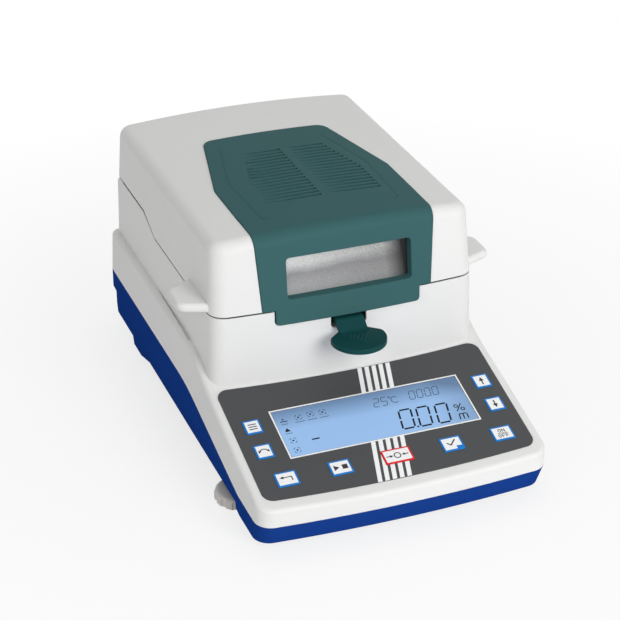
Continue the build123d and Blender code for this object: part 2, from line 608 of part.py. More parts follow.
# Grip ears on both sides
ear_low, ear_high = SPLIT_Z + PART_GAP / 2, SPLIT_Z + 7.6
EAR_ROOT = (-53.5, -8.5)
EAR_TIP = (-45.5, -20.5)
for side in (-1, 1):
    root_x = side * (CHAMBER_HALF - WALL)
    tip_x = side * EAR_SPAN / 2
    ear = make_face(Polyline((root_x, EAR_ROOT[0]), (side * CHAMBER_HALF, EAR_ROOT[0]),
                             (tip_x, EAR_TIP[0]), (tip_x, EAR_TIP[1]),
                             (side * CHAMBER_HALF, EAR_ROOT[1]), (root_x, EAR_ROOT[1]), close=True))
    tips = sorted(ear.vertices(), key=lambda v: -abs(v.X))[:2]
    ear = Pos(0, 0, ear_low) * extrude(fillet(tips, 8.0), ear_high - ear_low)
    ear = fillet([e for e in ear.edges() if abs(e.center().X) > CHAMBER_HALF + 1.0
                  and abs(e.tangent_at(0.5).Z) < 0.5], 3.2)
    lid_shell += ear

# Notches in the lid's rear wall for the hinge leaves
for side in (-1, 1):
    x0, x1 = sorted((side * (HINGE_X - LEAF_HALF - 1.5), side * (HINGE_X + LEAF_HALF + 1.5)))
    lid_shell -= block((x0, x1), (HINGE_Y - 6, REAR + 5), (SPLIT_REAR_Z - 5, HINGE_Z + 6.5))
save("lid_shell", lid_shell)

# Coloured panel with the viewing window's frame, the louvres and the tab
panel_skin = lid_form(PANEL_PROUD) - lid_cavity
panel = panel_skin & lid_cut & panel_outline(0)
tab = block((-TAB_HALF, TAB_HALF), (FRONT, -50), (TAB_Z, SPLIT_Z + 2))
tab = fillet(tab.edges().filter_by(Axis.Y).group_by(Axis.Z)[0], TAB_CORNER)
panel += panel_skin & tab
FRONT_LEAN = (LID_TOP_FRONT - CHAMBER_FRONT) / (HEIGHT + 4 - SPLIT_Z)
open_w, open_h = GLASS_W, HEIGHT - SPLIT_Z - GLASS_SILL - GLASS_HEAD
glass_rise = GLASS_SILL + open_h / 2
glass_y = CHAMBER_FRONT + FRONT_LEAN * glass_rise - PANEL_PROUD
glass_plane = Plane(origin=(GLASS_X, glass_y, SPLIT_Z + glass_rise), x_dir=(1, 0, 0),
                    z_dir=(0, -1, FRONT_LEAN))
frame_block = glass_plane.location * Pos(0, 0, -GLASS_DEPTH) * extrude(
    RectangleRounded(open_w + 5, open_h + 5, 3), GLASS_DEPTH - 2.2)
panel += frame_block
funnel = glass_plane.location * Pos(0, 0, -GLASS_DEPTH - 1) * loft([
    RectangleRounded(open_w - 3, open_h - 3, 2.0),
    Pos(0, 0, GLASS_DEPTH + 3) * RectangleRounded(open_w + 0.6, open_h + 0.6, 3.2)])
panel -= funnel


def arch_top(x):
    """Height of the panel's arched top at x."""
    return HEIGHT - LID_CROWN * (x / 100) ** 2


def louvre(x0, x1, y):
    """One ramped slot along X that opens at its right end."""
    z0, z1 = arch_top(x0), arch_top(x1)
    ramp = Polyline((x0, z0 + 2), (x0, z0 - 0.1), (x1 - 2.6, z1 - 1.5), (x1 - 2.6, z1 - 9),
                    (x1, z1 - 9), (x1, z1 + 2), close=True)
    return Pos(0, y + SLOT_W / 2, 0) * extrude(make_face(Plane.XZ * ramp), SLOT_W)


for row in range(SLOT_COUNT):
    y = SLOT_FRONT_Y + row * SLOT_PITCH
    reach = 40.0 if y < PANEL_KINK_Y else 40.0 - (y - PANEL_KINK_Y) * 0.24
    panel -= louvre(-reach, 0.5, y)
    panel -= louvre(6.5, 6.5 + reach, y)
save("lid_panel", panel)

glass = glass_plane.location * Pos(0, 0, -GLASS_DEPTH - GLASS_T) * extrude(
    RectangleRounded(open_w + 4, open_h + 4, 2.5), GLASS_T)
save("window_glass", glass)

# Inside the lid: liner, reflector hood, ring lamp, holders, protective glass, probe
LINER_Z, LINER_REAR_Z, LINER_T = 124.0, 142.0, 2.0
liner_line = [(-66.0, LINER_Z), (74.0, LINER_Z), (104.0, LINER_REAR_Z), (HINGE_Y - 7, LINER_REAR_Z)]
liner = lid_form(-WALL - 0.3) & side_slab(
    liner_line + [(y, z + LINER_T) for y, z in liner_line[::-1]])
HOOD_HALF, HOOD_FRONT, HOOD_REAR, SHEET = 66.0, -51.0, 72.0, 1.0
HOOD_TOP = HEIGHT - 14.0
GUARD_R, GUARD_T = 60.0, 2.5
LAMP_R, LAMP_TUBE_R = 46.0, 5.0
LAMP_Z = (LINER_Z + LINER_T + GUARD_T + HOOD_TOP) / 2
liner -= upright(GUARD_R - 3, 0, PAN_Y, LINER_Z - 1, LINER_Z + LINER_T + 1)
save("lid_liner", liner)
hood_low = LINER_Z + LINER_T
hood = block((-HOOD_HALF, HOOD_HALF), (HOOD_FRONT, HOOD_REAR), (hood_low, HOOD_TOP))
hood -= block((-HOOD_HALF + SHEET, HOOD_HALF - SHEET), (HOOD_FRONT - 1, HOOD_REAR - SHEET),
              (hood_low - 1, HOOD_TOP - SHEET))
save("reflector_hood", hood)
guard = upright(GUARD_R, 0, PAN_Y, hood_low, hood_low + GUARD_T)
save("lamp_guard_glass", guard)
lamp_path = CenterArc((0, PAN_Y), LAMP_R, 105, 330)
lamp = Pos(0, 0, LAMP_Z) * sweep(Plane(origin=lamp_path @ 0, z_dir=lamp_path % 0) * Circle(LAMP_TUBE_R),
                                 path=lamp_path)
save("halogen_lamp", lamp)
holders = []
for end in (lamp_path @ 0, lamp_path @ 1):
    body = block((end.X - 8, end.X + 8), (end.Y - 7, end.Y + 7), (LAMP_Z - 8, HOOD_TOP - SHEET))
    grown = Pos(0, 0, LAMP_Z) * sweep(
        Plane(origin=lamp_path @ 0, z_dir=lamp_path % 0) * Circle(LAMP_TUBE_R + RUNNING), path=lamp_path)
    holders.append(body - grown)
save("lamp_holders", Compound(holders))
probe = upright(2.5, 0, PAN_Y, hood_low + 8, HOOD_TOP - SHEET) + upright(6, 0, PAN_Y, HOOD_TOP - 7,
                                                                       HOOD_TOP - SHEET)
save("temperature_probe", probe)

# Hinge: pins in the housing's knuckles, leaves on the lid's rear wall
pins, leaves = [], []
for side in (-1, 1):
    x0, x1 = sorted((side * (HINGE_X - LEAF_HALF), side * (HINGE_X + LEAF_HALF)))
    pins.append(crossbar(PIN_R, x0, x1, HINGE_Y, HINGE_Z))
    k0, k1 = sorted((side * (HINGE_X - KNUCKLE_HALF), side * (HINGE_X + KNUCKLE_HALF)))
    leaf = block((x0, x1), (HINGE_Y - 3.0, REAR), (HINGE_Z + KNUCKLE_R + 0.6, HINGE_Z + 17))
    leaf = leaf & lid_form(-WALL)
    for a, b in ((x0, k0 - REST_GAP), (k1 + REST_GAP, x1)):
        leaf += crossbar(KNUCKLE_R, a, b, HINGE_Y, HINGE_Z)
        leaf += block((a, b), (HINGE_Y - 3.0, HINGE_Y + 0.8), (HINGE_Z, HINGE_Z + KNUCKLE_R + 1))
    leaves.append(leaf - crossbar(PIN_R + RUNNING, x0 - 1, x1 + 1, HINGE_Y, HINGE_Z))
save("hinge_pins", Compound(pins))
save("lid_hinge_leaves", Compound(leaves))

# Power supply board in the rear, with its transformer and capacitors
supply_z = TRAY_FLOOR_Z + WALL
supply = block((34, 98), (70, 160), (supply_z + 6, supply_z + 7.6))
for x in (38, 94):
    for y in (75, 155):
        supply += upright(3, x, y, supply_z, supply_z + 6)
supply += block((42, 74), (80, 112), (supply_z + 7.6, supply_z + 31))
supply += upright(6, 84, 130, supply_z + 7.6, supply_z + 28) + upright(6, 66, 140, supply_z + 7.6,
                                                                     supply_z + 28)
save("power_board", supply)

# Rear sockets
rear_face = CHAMBER_REAR
flange_w, flange_h = INLET_FLANGE
body_w, body_h, body_d = INLET_BODY
mouth_w, mouth_h, mouth_d = INLET_MOUTH
inlet = block((INLET_X - flange_w / 2, INLET_X + flange_w / 2), (rear_face, rear_face + 2.0),
              (SOCKET_Z - flange_h / 2, SOCKET_Z + flange_h / 2))
inlet = fillet(inlet.edges().filter_by(Axis.Y), 3.0)
inlet += block((INLET_X - body_w / 2, INLET_X + body_w / 2), (rear_face - body_d, rear_face + 1),
               (SOCKET_Z - body_h / 2, SOCKET_Z + body_h / 2))
mouth_z = SOCKET_Z + INLET_MOUTH_DZ
mouth = make_face(Plane.XZ * Polyline(
    (-mouth_w / 2, -mouth_h / 2), (mouth_w / 2, -mouth_h / 2), (mouth_w / 2, mouth_h / 2 - 5),
    (mouth_w / 2 - 5, mouth_h / 2), (-mouth_w / 2 + 5, mouth_h / 2), (-mouth_w / 2, mouth_h / 2 - 5),
    close=True))
inlet -= Pos(INLET_X, rear_face + 3, mouth_z) * extrude(mouth, mouth_d + 3)
for dx, dz in ((-7, -1), (0, 3), (7, -1)):
    inlet += Pos(INLET_X + dx, rear_face - mouth_d + 5, mouth_z + dz) * Box(2, 12, 4)
drawer_w, drawer_h, drawer_d = DRAWER
drawer_z = SOCKET_Z + DRAWER_DZ
inlet -= block((INLET_X - drawer_w / 2 - 0.3, INLET_X + drawer_w / 2 + 0.3),
               (rear_face - drawer_d - 0.5, rear_face + 5),
               (drawer_z - drawer_h / 2 - 0.3, drawer_z + drawer_h / 2 + 0.3))
save("power_inlet", inlet)
drawer = block((INLET_X - drawer_w / 2, INLET_X + drawer_w / 2), (rear_face - drawer_d, rear_face + 2.0),
               (drawer_z - drawer_h / 2, drawer_z + drawer_h / 2))
for dx in (-5.5, 5.5):
    drawer -= Pos(INLET_X + dx, rear_face - drawer_d / 2 - 2, drawer_z + 2) * Box(6.5, 12, 6)
save("fuse_drawer", drawer)

port = block((PORT_X - 15.4, PORT_X + 15.4), (rear_face, rear_face + 1.0), (SOCKET_Z - 6.3, SOCKET_Z + 6.3))
shell = Plane.XZ * Polyline((-8.4, 4.2), (8.4, 4.2), (7.0, -4.2), (-7.0, -4.2), close=True)
port += Pos(PORT_X, rear_face, SOCKET_Z) * extrude(make_face(shell), 1.9, dir=(0, 1, 0))
port += block((PORT_X - 9.5, PORT_X + 9.5), (rear_face - 12, rear_face + 0.5), (SOCKET_Z - 5.3, SOCKET_Z + 5.3))
for dx in (-12.5, 12.5):
    port += Pos(PORT_X + dx, rear_face + 1.2, SOCKET_Z) * Rot(90, 0, 0) * Cylinder(2.4, 1.2)
save("serial_port", port)
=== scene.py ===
# %% [markdown]
# This notebook dresses a halogen moisture analyzer: a small laboratory balance under a heated
# chamber, which weighs a sample while it dries. Its solid pieces come ready-made, at their real
# size, from a CAD model. They could be modelled again here, but their joints and fits would be
# lost, so the script only gives each one its finish, adds the prints and trims that are too thin
# to be solids, and sets up a plain studio round it.

# %% Load the solid pieces
import math

import bmesh
import bpy
from mathutils import Matrix, Vector


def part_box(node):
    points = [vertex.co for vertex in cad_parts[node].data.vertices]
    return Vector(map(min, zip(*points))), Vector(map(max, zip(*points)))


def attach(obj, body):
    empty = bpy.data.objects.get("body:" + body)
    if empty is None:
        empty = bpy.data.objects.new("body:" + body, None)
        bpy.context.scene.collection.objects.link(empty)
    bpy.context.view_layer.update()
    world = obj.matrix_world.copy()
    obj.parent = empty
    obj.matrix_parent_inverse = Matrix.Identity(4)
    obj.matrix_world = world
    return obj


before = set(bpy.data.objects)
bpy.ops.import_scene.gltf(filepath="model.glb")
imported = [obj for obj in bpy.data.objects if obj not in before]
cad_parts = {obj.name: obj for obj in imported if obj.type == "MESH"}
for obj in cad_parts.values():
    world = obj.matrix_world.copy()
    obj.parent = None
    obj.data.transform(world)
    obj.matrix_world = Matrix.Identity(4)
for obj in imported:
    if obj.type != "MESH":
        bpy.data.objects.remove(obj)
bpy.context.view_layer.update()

# %% [markdown]
# A camera solved from a photograph needs four things: where it looks, how far away it is, its two
# angles, and its focal length. They could be set by eye, but the straight edges of the deck, the
# display and the lid fix all four, so the numbers below were solved from those edges. The focal
# length in pixels becomes a lens in millimetres by way of the widths of the picture and the
# sensor.

# %% The camera
PICTURE_WIDTH = 620
FOCAL_PIXELS = 1861.8
SENSOR_WIDTH = 36.0
VIEW_YAW = math.radians(21.0)
VIEW_PITCH = math.radians(28.41)
VIEW_DISTANCE = 1.39065
VIEW_TARGET = Vector((-0.00357, -0.00014, 0.080))
NEAR_CLIP, FAR_CLIP = 0.05, 30.0

towards_camera = Vector((-math.sin(VIEW_YAW) * math.cos(VIEW_PITCH),
                         -math.cos(VIEW_YAW) * math.cos(VIEW_PITCH), math.sin(VIEW_PITCH)))
camera_data = bpy.data.cameras.new("camera")
camera_data.sensor_width = SENSOR_WIDTH
camera_data.lens = FOCAL_PIXELS * SENSOR_WIDTH / PICTURE_WIDTH
camera_data.clip_start = NEAR_CLIP
camera_data.clip_end = FAR_CLIP
camera = bpy.data.objects.new("camera", camera_data)
bpy.context.scene.collection.objects.link(camera)
camera.location = VIEW_TARGET + towards_camera * VIEW_DISTANCE
camera.rotation_euler = towards_camera.to_track_quat("Z", "Y").to_euler()
bpy.context.scene.camera = camera
print("lens", round(camera_data.lens, 2), "mm")

# %% [markdown]
# A real finish is uneven: masks, ramps and noise say where its colour and gloss change. Such sums
# could be drawn as Math nodes in the Shader Editor, one by one, which hides the idea behind them.
# A thin class lets Python's own operators add those nodes instead, so that `1 - mask * 0.4` adds
# two of them and still reads as a sum.

# %% A shader value that understands arithmetic
class ShaderMath:
    """An output socket of a finish that adds Math nodes when it is used in arithmetic."""

    def __init__(self, finish, socket):
        self.finish = finish
        self.socket = socket

    def combine(self, operation, first, second=0.0):
        return self.finish.node("ShaderNodeMath", {"operation": operation}, {0: first, 1: second})

    def __add__(self, other):
        return self.combine("ADD", self, other)

    def __radd__(self, other):
        return self.combine("ADD", other, self)

    def __sub__(self, other):
        return self.combine("SUBTRACT", self, other)

    def __rsub__(self, other):
        return self.combine("SUBTRACT", other, self)

    def __mul__(self, other):
        return self.combine("MULTIPLY", self, other)

    def __rmul__(self, other):
        return self.combine("MULTIPLY", other, self)

    def __truediv__(self, other):
        return self.combine("DIVIDE", self, other)

    def __abs__(self):
        return self.combine("ABSOLUTE", self)

    def above(self, limit):
        return self.combine("GREATER_THAN", self, limit)

    def larger(self, other):
        return self.combine("MAXIMUM", self, other)

    def clamped(self):
        return self.finish.node("ShaderNodeClamp", None, {"Value": self})


print("sockets take: + - * / abs, above, larger, clamped")

# %% [markdown]
# Every finish here is one material with one Principled shader. A second class makes the material
# and adds any node from its type, its settings and its inputs. Patterns could be laid out with a
# UV map, but Object coordinates need none, they are in real metres, and they stay on a piece when
# it moves, so every pattern reads those.

# %% A finish made of nodes
class Finish:
    """One material, with a Principled shader that its sockets feed."""

    def __init__(self, name):
        self.material = bpy.data.materials.new(name)
        self.material.use_nodes = True
        self.tree = self.material.node_tree
        self.shader = self.tree.nodes["Principled BSDF"]

    def node(self, kind, settings=None, inputs=None, output=0):
        """Adds a node: first its settings, then the values or links of its sockets."""
        made = self.tree.nodes.new(kind)
        for key, value in (settings or {}).items():
            if key == "stops":
                self.set_stops(made.color_ramp, value)
            else:
                setattr(made, key, value)
        for key, value in (inputs or {}).items():
            self.feed(made.inputs[key], value)
        return ShaderMath(self, made.outputs[output])

    @staticmethod
    def set_stops(ramp, stops):
        while len(ramp.elements) < len(stops):
            ramp.elements.new(0.5)
        for element, (position, colour) in zip(ramp.elements, stops):
            element.position = position
            element.color = (*colour, 1.0)

    def feed(self, socket, value):
        if isinstance(value, ShaderMath):
            self.tree.links.new(value.socket, socket)
        else:
            socket.default_value = value

    def set(self, **sockets):
        """Feeds the Principled shader; an underscore in a name stands for a space."""
        for name, value in sockets.items():
            self.feed(self.shader.inputs[name.replace("_", " ")], value)

    def place(self):
        """Where a point lies on the object, in metres."""
        return self.node("ShaderNodeTexCoord", output="Object")

    def coordinate(self, axis):
        return self.node("ShaderNodeSeparateXYZ", None, {"Vector": self.place()}, output=axis)

    def along(self, direction):
        """How far a point lies along a direction, in metres."""
        return self.node("ShaderNodeVectorMath", {"operation": "DOT_PRODUCT"},
                         {0: self.place(), 1: direction}, output="Value")

    def stretched(self, scale):
        return self.node("ShaderNodeMapping", None, {"Vector": self.place(), "Scale": scale})

    def noise(self, scale, detail=2.0, place=None):
        return self.node("ShaderNodeTexNoise", None,
                         {"Vector": place or self.place(), "Scale": scale, "Detail": detail})

    def mix_colour(self, amount, first, second):
        mixer = self.tree.nodes.new("ShaderNodeMix")
        mixer.data_type = "RGBA"
        for name, value in (("Factor", amount), ("A", first), ("B", second)):
            sockets = [socket for socket in mixer.inputs if socket.name == name and socket.enabled]
            self.feed(sockets[0], value)
        return ShaderMath(self, [socket for socket in mixer.outputs if socket.enabled][0])

    def bumped(self, height, depth, strength, edge=None):
        """Raises the surface by a height; an edge radius rounds its sharp edges in the shading."""
        inputs = {"Height": height, "Distance": depth, "Strength": strength}
        if edge:
            inputs["Normal"] = self.node("ShaderNodeBevel", {"samples": 4}, {"Radius": edge})
        self.set(Normal=self.node("ShaderNodeBump", None, inputs, output="Normal"))


def rgba(red, green, blue):
    return (red, green, blue, 1.0)


def tinted(colour, factor):
    return tuple(channel * factor for channel in colour[:3]) + (1.0,)


PLAIN_WHITE = rgba(1.0, 1.0, 1.0)
print("half of white:", tinted(PLAIN_WHITE, 0.5))

# %% [markdown]
# Almost the whole casing is moulded ABS. Its surface carries the fine grain of a spark-eroded
# mould, which blurs the light a little, and its colour drifts by a few percent. One plain colour
# would look like paint in a drawing program, so a fine noise makes the grain and a broad one the
# drift. The gloss level is low, because a grained moulding mirrors far less of the pale floor than
# a polished one. The coloured panel's sharp edges are softly rounded by a Bevel node, which costs
# no faces.

# %% Moulded plastic
CLOUD_SCALE, CLOUD_DETAIL = 14.0, 3.0
GRAIN_DETAIL, GRAIN_STRENGTH = 1.5, 0.35
DRIFT = 0.03


def moulded(name, colour, roughness, grain=1900.0, depth=0.00003, gloss=0.3, edge=None):
    """A moulding; grain is its noise scale, depth the height of the grain in metres."""
    finish = Finish(name)
    cloud = finish.noise(CLOUD_SCALE, CLOUD_DETAIL)
    fine = finish.noise(grain, GRAIN_DETAIL)
    darker, lighter = tinted(colour, 1.0 - DRIFT), tinted(colour, 1.0 + DRIFT)
    finish.set(
        Base_Color=finish.mix_colour(cloud, darker, lighter),
        Roughness=roughness - 0.04 + fine * 0.05 + cloud * 0.04,
        Specular_IOR_Level=gloss,
    )
    finish.bumped(fine, depth, GRAIN_STRENGTH, edge)
    return finish.material


white_abs = moulded("white_abs", rgba(0.80, 0.80, 0.79), 0.46, gloss=0.25)
blue_abs = moulded("blue_abs", rgba(0.010, 0.051, 0.27), 0.46, gloss=0.0)
teal_abs = moulded("teal_abs", rgba(0.046, 0.124, 0.129), 0.40, gloss=0.02, edge=0.0009)
dark_teal_abs = moulded("dark_teal_abs", rgba(0.008, 0.060, 0.062), 0.36, gloss=0.06)
warm_grey_abs = moulded("warm_grey_abs", rgba(0.70, 0.68, 0.64), 0.5)
black_plastic = moulded("black_plastic", rgba(0.02, 0.02, 0.02), 0.45)
film_grey = moulded("film_grey", rgba(0.078, 0.080, 0.084), 0.5, grain=3200.0, depth=0.00002,
                    gloss=0.12)
print("moulded:", [finish.name for finish in (white_abs, blue_abs, teal_abs, dark_teal_abs,
                                              warm_grey_abs, black_plastic, film_grey)])

# %% [markdown]
# The chamber, the load cell and the feet's studs are metal. Sheet steel and turned aluminium show
# the direction in which they were worked. A photograph of brush marks could be laid over them, but
# noise that is stretched along one axis gives the same lines at any size, and it feeds both the
# roughness and a very shallow bump.

# %% Worked metal
BRUSH_DEPTH, BRUSH_STRENGTH = 0.00001, 0.3
TARNISH_SCALE = 25.0


def brushed(name, colour, roughness, stretch=(40.0, 900.0, 900.0)):
    """A metal with brush lines; stretch holds their noise scale along each axis."""
    finish = Finish(name)
    lines = finish.noise(1.0, 2.0, finish.stretched(stretch))
    cloud = finish.noise(TARNISH_SCALE)
    finish.set(
        Base_Color=finish.mix_colour(cloud, tinted(colour, 0.92), tinted(colour, 1.04)),
        Metallic=1.0,
        Roughness=roughness - 0.06 + lines * 0.12,
    )
    finish.bumped(lines, BRUSH_DEPTH, BRUSH_STRENGTH)
    return finish.material


bright_steel = brushed("bright_steel", rgba(0.66, 0.66, 0.65), 0.26)
satin_steel = brushed("satin_steel", rgba(0.50, 0.50, 0.50), 0.4)
aluminium = brushed("aluminium", rgba(0.78, 0.79, 0.80), 0.3, (300.0, 300.0, 1200.0))
brass = brushed("brass", rgba(0.72, 0.52, 0.22), 0.3)
print("metals:", [finish.name for finish in (bright_steel, satin_steel, aluminium, brass)])

# %% [markdown]
# A few small parts are neither plain plastic nor bare metal: rubber feet with a dry, mottled
# surface, green circuit boards, pale ceramic lamp holders, and the clear parts. The first three
# are near enough to a moulding to share its recipe with other numbers. Glass could be a Glass
# shader, but transmission on the Principled one keeps every finish in the same form, with a trace
# of dust.

# %% Rubber, board, ceramic and glass
DUST_SCALE, DUST_DETAIL = 60.0, 4.0
GLASS_INDEX = 1.5


def clear(name, colour, roughness, transmission=1.0):
    finish = Finish(name)
    dust = finish.noise(DUST_SCALE, DUST_DETAIL)
    finish.set(Base_Color=colour, Roughness=roughness + dust * 0.03, IOR=GLASS_INDEX,
               Transmission_Weight=transmission)
    return finish.material


rubber = moulded("rubber", rgba(0.035, 0.035, 0.035), 0.75, grain=900.0, depth=0.00008)
board_green = moulded("board_green", rgba(0.02, 0.16, 0.07), 0.3)
ceramic = moulded("ceramic", rgba(0.78, 0.75, 0.68), 0.7, grain=1200.0, depth=0.00005)
clear_glass = clear("clear_glass", rgba(0.95, 0.97, 0.97), 0.02)
lamp_glass = clear("lamp_glass", rgba(0.92, 0.90, 0.86), 0.06)
level_liquid = clear("level_liquid", rgba(0.62, 0.80, 0.16), 0.05, 0.6)
print("other finishes:", [finish.name for finish in (rubber, board_green, ceramic, clear_glass,
                                                     lamp_glass, level_liquid)])

# %% [markdown]
# The viewing window is a coated glass in front of the polished chamber. Its colour is a painted
# reflection: a pale band along the top, grey with speckles below, painted shade that deepens
# towards the right, and a painted black end at the right. Real transparency would show whatever
# lies behind and would bake badly. A height ramp, a speckle and a ramp across paint that view on a
# solid pane.

# %% The viewing window's coated glass, with a painted reflection
SPECKLE_SCALE, PATCH_SCALE = 1500.0, 45.0
DARK_END_STARTS, DARK_END_SHARPNESS = 0.82, 7.0
REFLECTION_BAND_STOPS = [(0.0, (0.46, 0.46, 0.46)), (0.35, (0.40, 0.40, 0.41)), (0.54, (0.32, 0.32, 0.33)),
              (0.74, (0.74, 0.74, 0.74)), (1.0, (0.82, 0.82, 0.82))]

window_low, window_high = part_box("window_glass")
coated = Finish("coated_glass")
across = (coated.coordinate("X") - window_low[0]) / (window_high[0] - window_low[0])
rise = (coated.coordinate("Z") - window_low[2]) / (window_high[2] - window_low[2])
speckle = coated.noise(SPECKLE_SCALE, 1.0)
patches = coated.noise(PATCH_SCALE) - 0.5
# painted reflection: a pale band along the top, grey below
painted_reflection_band = coated.node("ShaderNodeValToRGB", {"stops": REFLECTION_BAND_STOPS},
                   {"Fac": (rise + patches * 0.20 - across * 0.12 + 0.05).clamped()})
# painted shade: a black end at the right of the pane
painted_dark_end = ((across + rise * 0.05 - DARK_END_STARTS) * DARK_END_SHARPNESS).clamped()
# speckles, with painted shade that deepens towards the right
speckle_and_painted_shade = (speckle * 0.9 - 0.2 + (across * 0.55 - 0.05).clamped()).clamped()
painted_reflection_view = coated.mix_colour(speckle_and_painted_shade, painted_reflection_band, rgba(0.17, 0.17, 0.17))
coated.set(Base_Color=coated.mix_colour(painted_dark_end, painted_reflection_view, rgba(0.010, 0.010, 0.010)),
           Metallic=0.15, Roughness=0.38 + speckle * 0.1, Specular_IOR_Level=0.25)
coated_glass = coated.material
window_size = [round(high - low, 4) for low, high in zip(window_low, window_high)]
print("window:", window_size, "m")

# %% [markdown]
# The keypad deck slopes towards the user. Its prints and its display could be placed in world
# coordinates, but on the drawing board they have plain numbers: x across the deck and v up the
# slope from its front edge, in millimetres. Two unit vectors and a starting point turn those into
# places in the frame.

# %% The deck's own directions
MM = 0.001
DECK_TILT = math.radians(15.14)
DECK_ORIGIN = Vector((0.0, -0.17175, 0.03836))
deck_up = Vector((0.0, math.cos(DECK_TILT), math.sin(DECK_TILT)))
deck_normal = Vector((0.0, -math.sin(DECK_TILT), math.cos(DECK_TILT)))


def up_the_deck(finish, v):
    """How far a point lies up the deck from a line at v millimetres, in metres."""
    return finish.along(deck_up) - DECK_ORIGIN.dot(deck_up) - v * MM


print("deck slope:", round(math.degrees(DECK_TILT), 2), "degrees")

# %% [markdown]
# The display glows with its own backlight. It is brightest in the lower middle, and painted shade
# darkens it towards the top edge and the right end. A lamp behind a clear pane would give a noisy
# glow, so two ramps in the deck's directions paint that shade over an emission instead. Nearly all
# of the display's light is its own, so its base colour is almost black, with a trace of the glow.

# %% The backlit display, with painted shade
DISPLAY_X, DISPLAY_V = 0.9, 57.05
DISPLAY_HALF = (70.5, 21.8)
# the bright backlight, and its colour under the painted shade
GLOW_BRIGHT, GLOW_IN_PAINTED_SHADE = rgba(0.30, 0.50, 0.80), rgba(0.115, 0.20, 0.34)
GLOW_STRENGTH = 0.93
STREAK_SCALE = 30.0

display = Finish("display_glow")
display_v = up_the_deck(display, DISPLAY_V) / (DISPLAY_HALF[1] * MM)
display_u = (display.coordinate("X") - DISPLAY_X * MM) / (DISPLAY_HALF[0] * MM)
# painted shade: darker towards the top edge and the right end
painted_top_shade = ((display_v - 0.12) * 1.25).clamped()
painted_end_shade = ((display_u - 0.62) * 2.4).clamped()
streaks = display.noise(STREAK_SCALE) - 0.5
painted_shade_and_streaks = (painted_top_shade * 0.85 + painted_end_shade * 0.55 + streaks * 0.12).clamped()
glow = display.mix_colour(painted_shade_and_streaks, GLOW_BRIGHT, GLOW_IN_PAINTED_SHADE)
display.set(Base_Color=display.mix_colour(0.94, glow, rgba(0.01, 0.01, 0.02)), Roughness=0.4,
            Emission_Color=glow, Emission_Strength=GLOW_STRENGTH, Specular_IOR_Level=0.2)
display_glow = display.material
print("display:", 2 * DISPLAY_HALF[0], "x", 2 * DISPLAY_HALF[1], "mm")

# %% [markdown]
# Each key is a white cap with a coloured border printed right to its edge. A frame of four thin
# bars could lie on it, but the border also runs down the cap's sides. Two distances from the
# middle of the key make the border's mask in the finish instead, so every key has its own finish
# with its own middle and width. The key that sets the balance to zero has a red border and the
# others a blue one.

# %% Key caps
KEY_PLACES = {  # the middle of each key on the deck, and its width
    "key_menu": (-86.5, 68.9, 12.4), "key_swap_unit": (-86.5, 45.2, 12.4),
    "key_escape": (-79.8, 17.3, 15.8), "key_start_stop": (-40.7, 17.3, 15.8),
    "key_tare": (1.4, 17.3, 21.3), "key_enter": (42.7, 17.3, 15.8),
    "key_on_off": (81.6, 17.3, 15.8), "key_up": (88.6, 68.9, 12.4), "key_down": (88.6, 45.2, 12.4),
}
KEY_HEIGHT = 12.9
BORDER = 1.3
BORDER_BLUE = rgba(0.002, 0.20, 0.62)
BORDER_RED = rgba(0.78, 0.012, 0.022)
CAP_GRAIN, CAP_GRAIN_DEPTH = 2400.0, 0.00002


def key_cap(name, x, v, width, edge_colour):
    cap = Finish(name)
    sideways = abs(cap.coordinate("X") - x * MM).above((width / 2 - BORDER) * MM)
    upwards = abs(up_the_deck(cap, v)).above((KEY_HEIGHT / 2 - BORDER) * MM)
    fine = cap.noise(CAP_GRAIN, GRAIN_DETAIL)
    in_border = sideways.larger(upwards)
    cap.set(Base_Color=cap.mix_colour(in_border, rgba(0.95, 0.95, 0.95), edge_colour),
            Roughness=0.42 + fine * 0.06, Specular_IOR_Level=0.25)
    cap.bumped(fine, CAP_GRAIN_DEPTH, 0.3)
    return cap.material


key_finishes = {
    name: key_cap(f"{name}_cap", *place, BORDER_RED if name == "key_tare" else BORDER_BLUE)
    for name, place in KEY_PLACES.items()}
print("key caps:", len(key_finishes))

# %% [markdown]
# Every solid now gets its finish, also the ones deep inside, because the lid opens and the pan
# lifts out. The finishes could be set on each piece by hand. One table is easier to check: a piece
# that is missing from it stops the script at once.

# %% Give every solid its finish
finishes = {
    "base_tray": blue_abs, "main_housing": white_abs, "lid_shell": white_abs,
    "lid_panel": teal_abs, "pan_lifter": dark_teal_abs, "window_glass": coated_glass,
    "keypad_overlay": film_grey, "display_window": display_glow, "display_module": black_plastic,
    "control_board": board_green, "power_board": board_green, "key_switches": black_plastic,
    "load_cell": aluminium, "load_cell_mount": aluminium, "load_cell_screws": bright_steel,
    "chamber_floor": bright_steel, "draught_shield": aluminium, "pan_carrier": bright_steel,
    "sample_pan": aluminium, "spirit_level": level_liquid, "rear_feet": rubber,
    "left_foot_pad": rubber, "right_foot_pad": rubber, "left_foot_stud": bright_steel,
    "right_foot_stud": bright_steel, "left_foot_wheel": warm_grey_abs,
    "right_foot_wheel": warm_grey_abs, "foot_bushes": brass, "lid_liner": satin_steel,
    "reflector_hood": bright_steel, "lamp_guard_glass": clear_glass, "halogen_lamp": lamp_glass,
    "lamp_holders": ceramic, "temperature_probe": bright_steel, "hinge_pins": bright_steel,
    "lid_hinge_leaves": satin_steel, "power_inlet": black_plastic, "fuse_drawer": black_plastic,
    "serial_port": bright_steel, **key_finishes,
}
for name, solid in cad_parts.items():
    solid.data.materials.clear()
    solid.data.materials.append(finishes[name])
print("finished:", len(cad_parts))

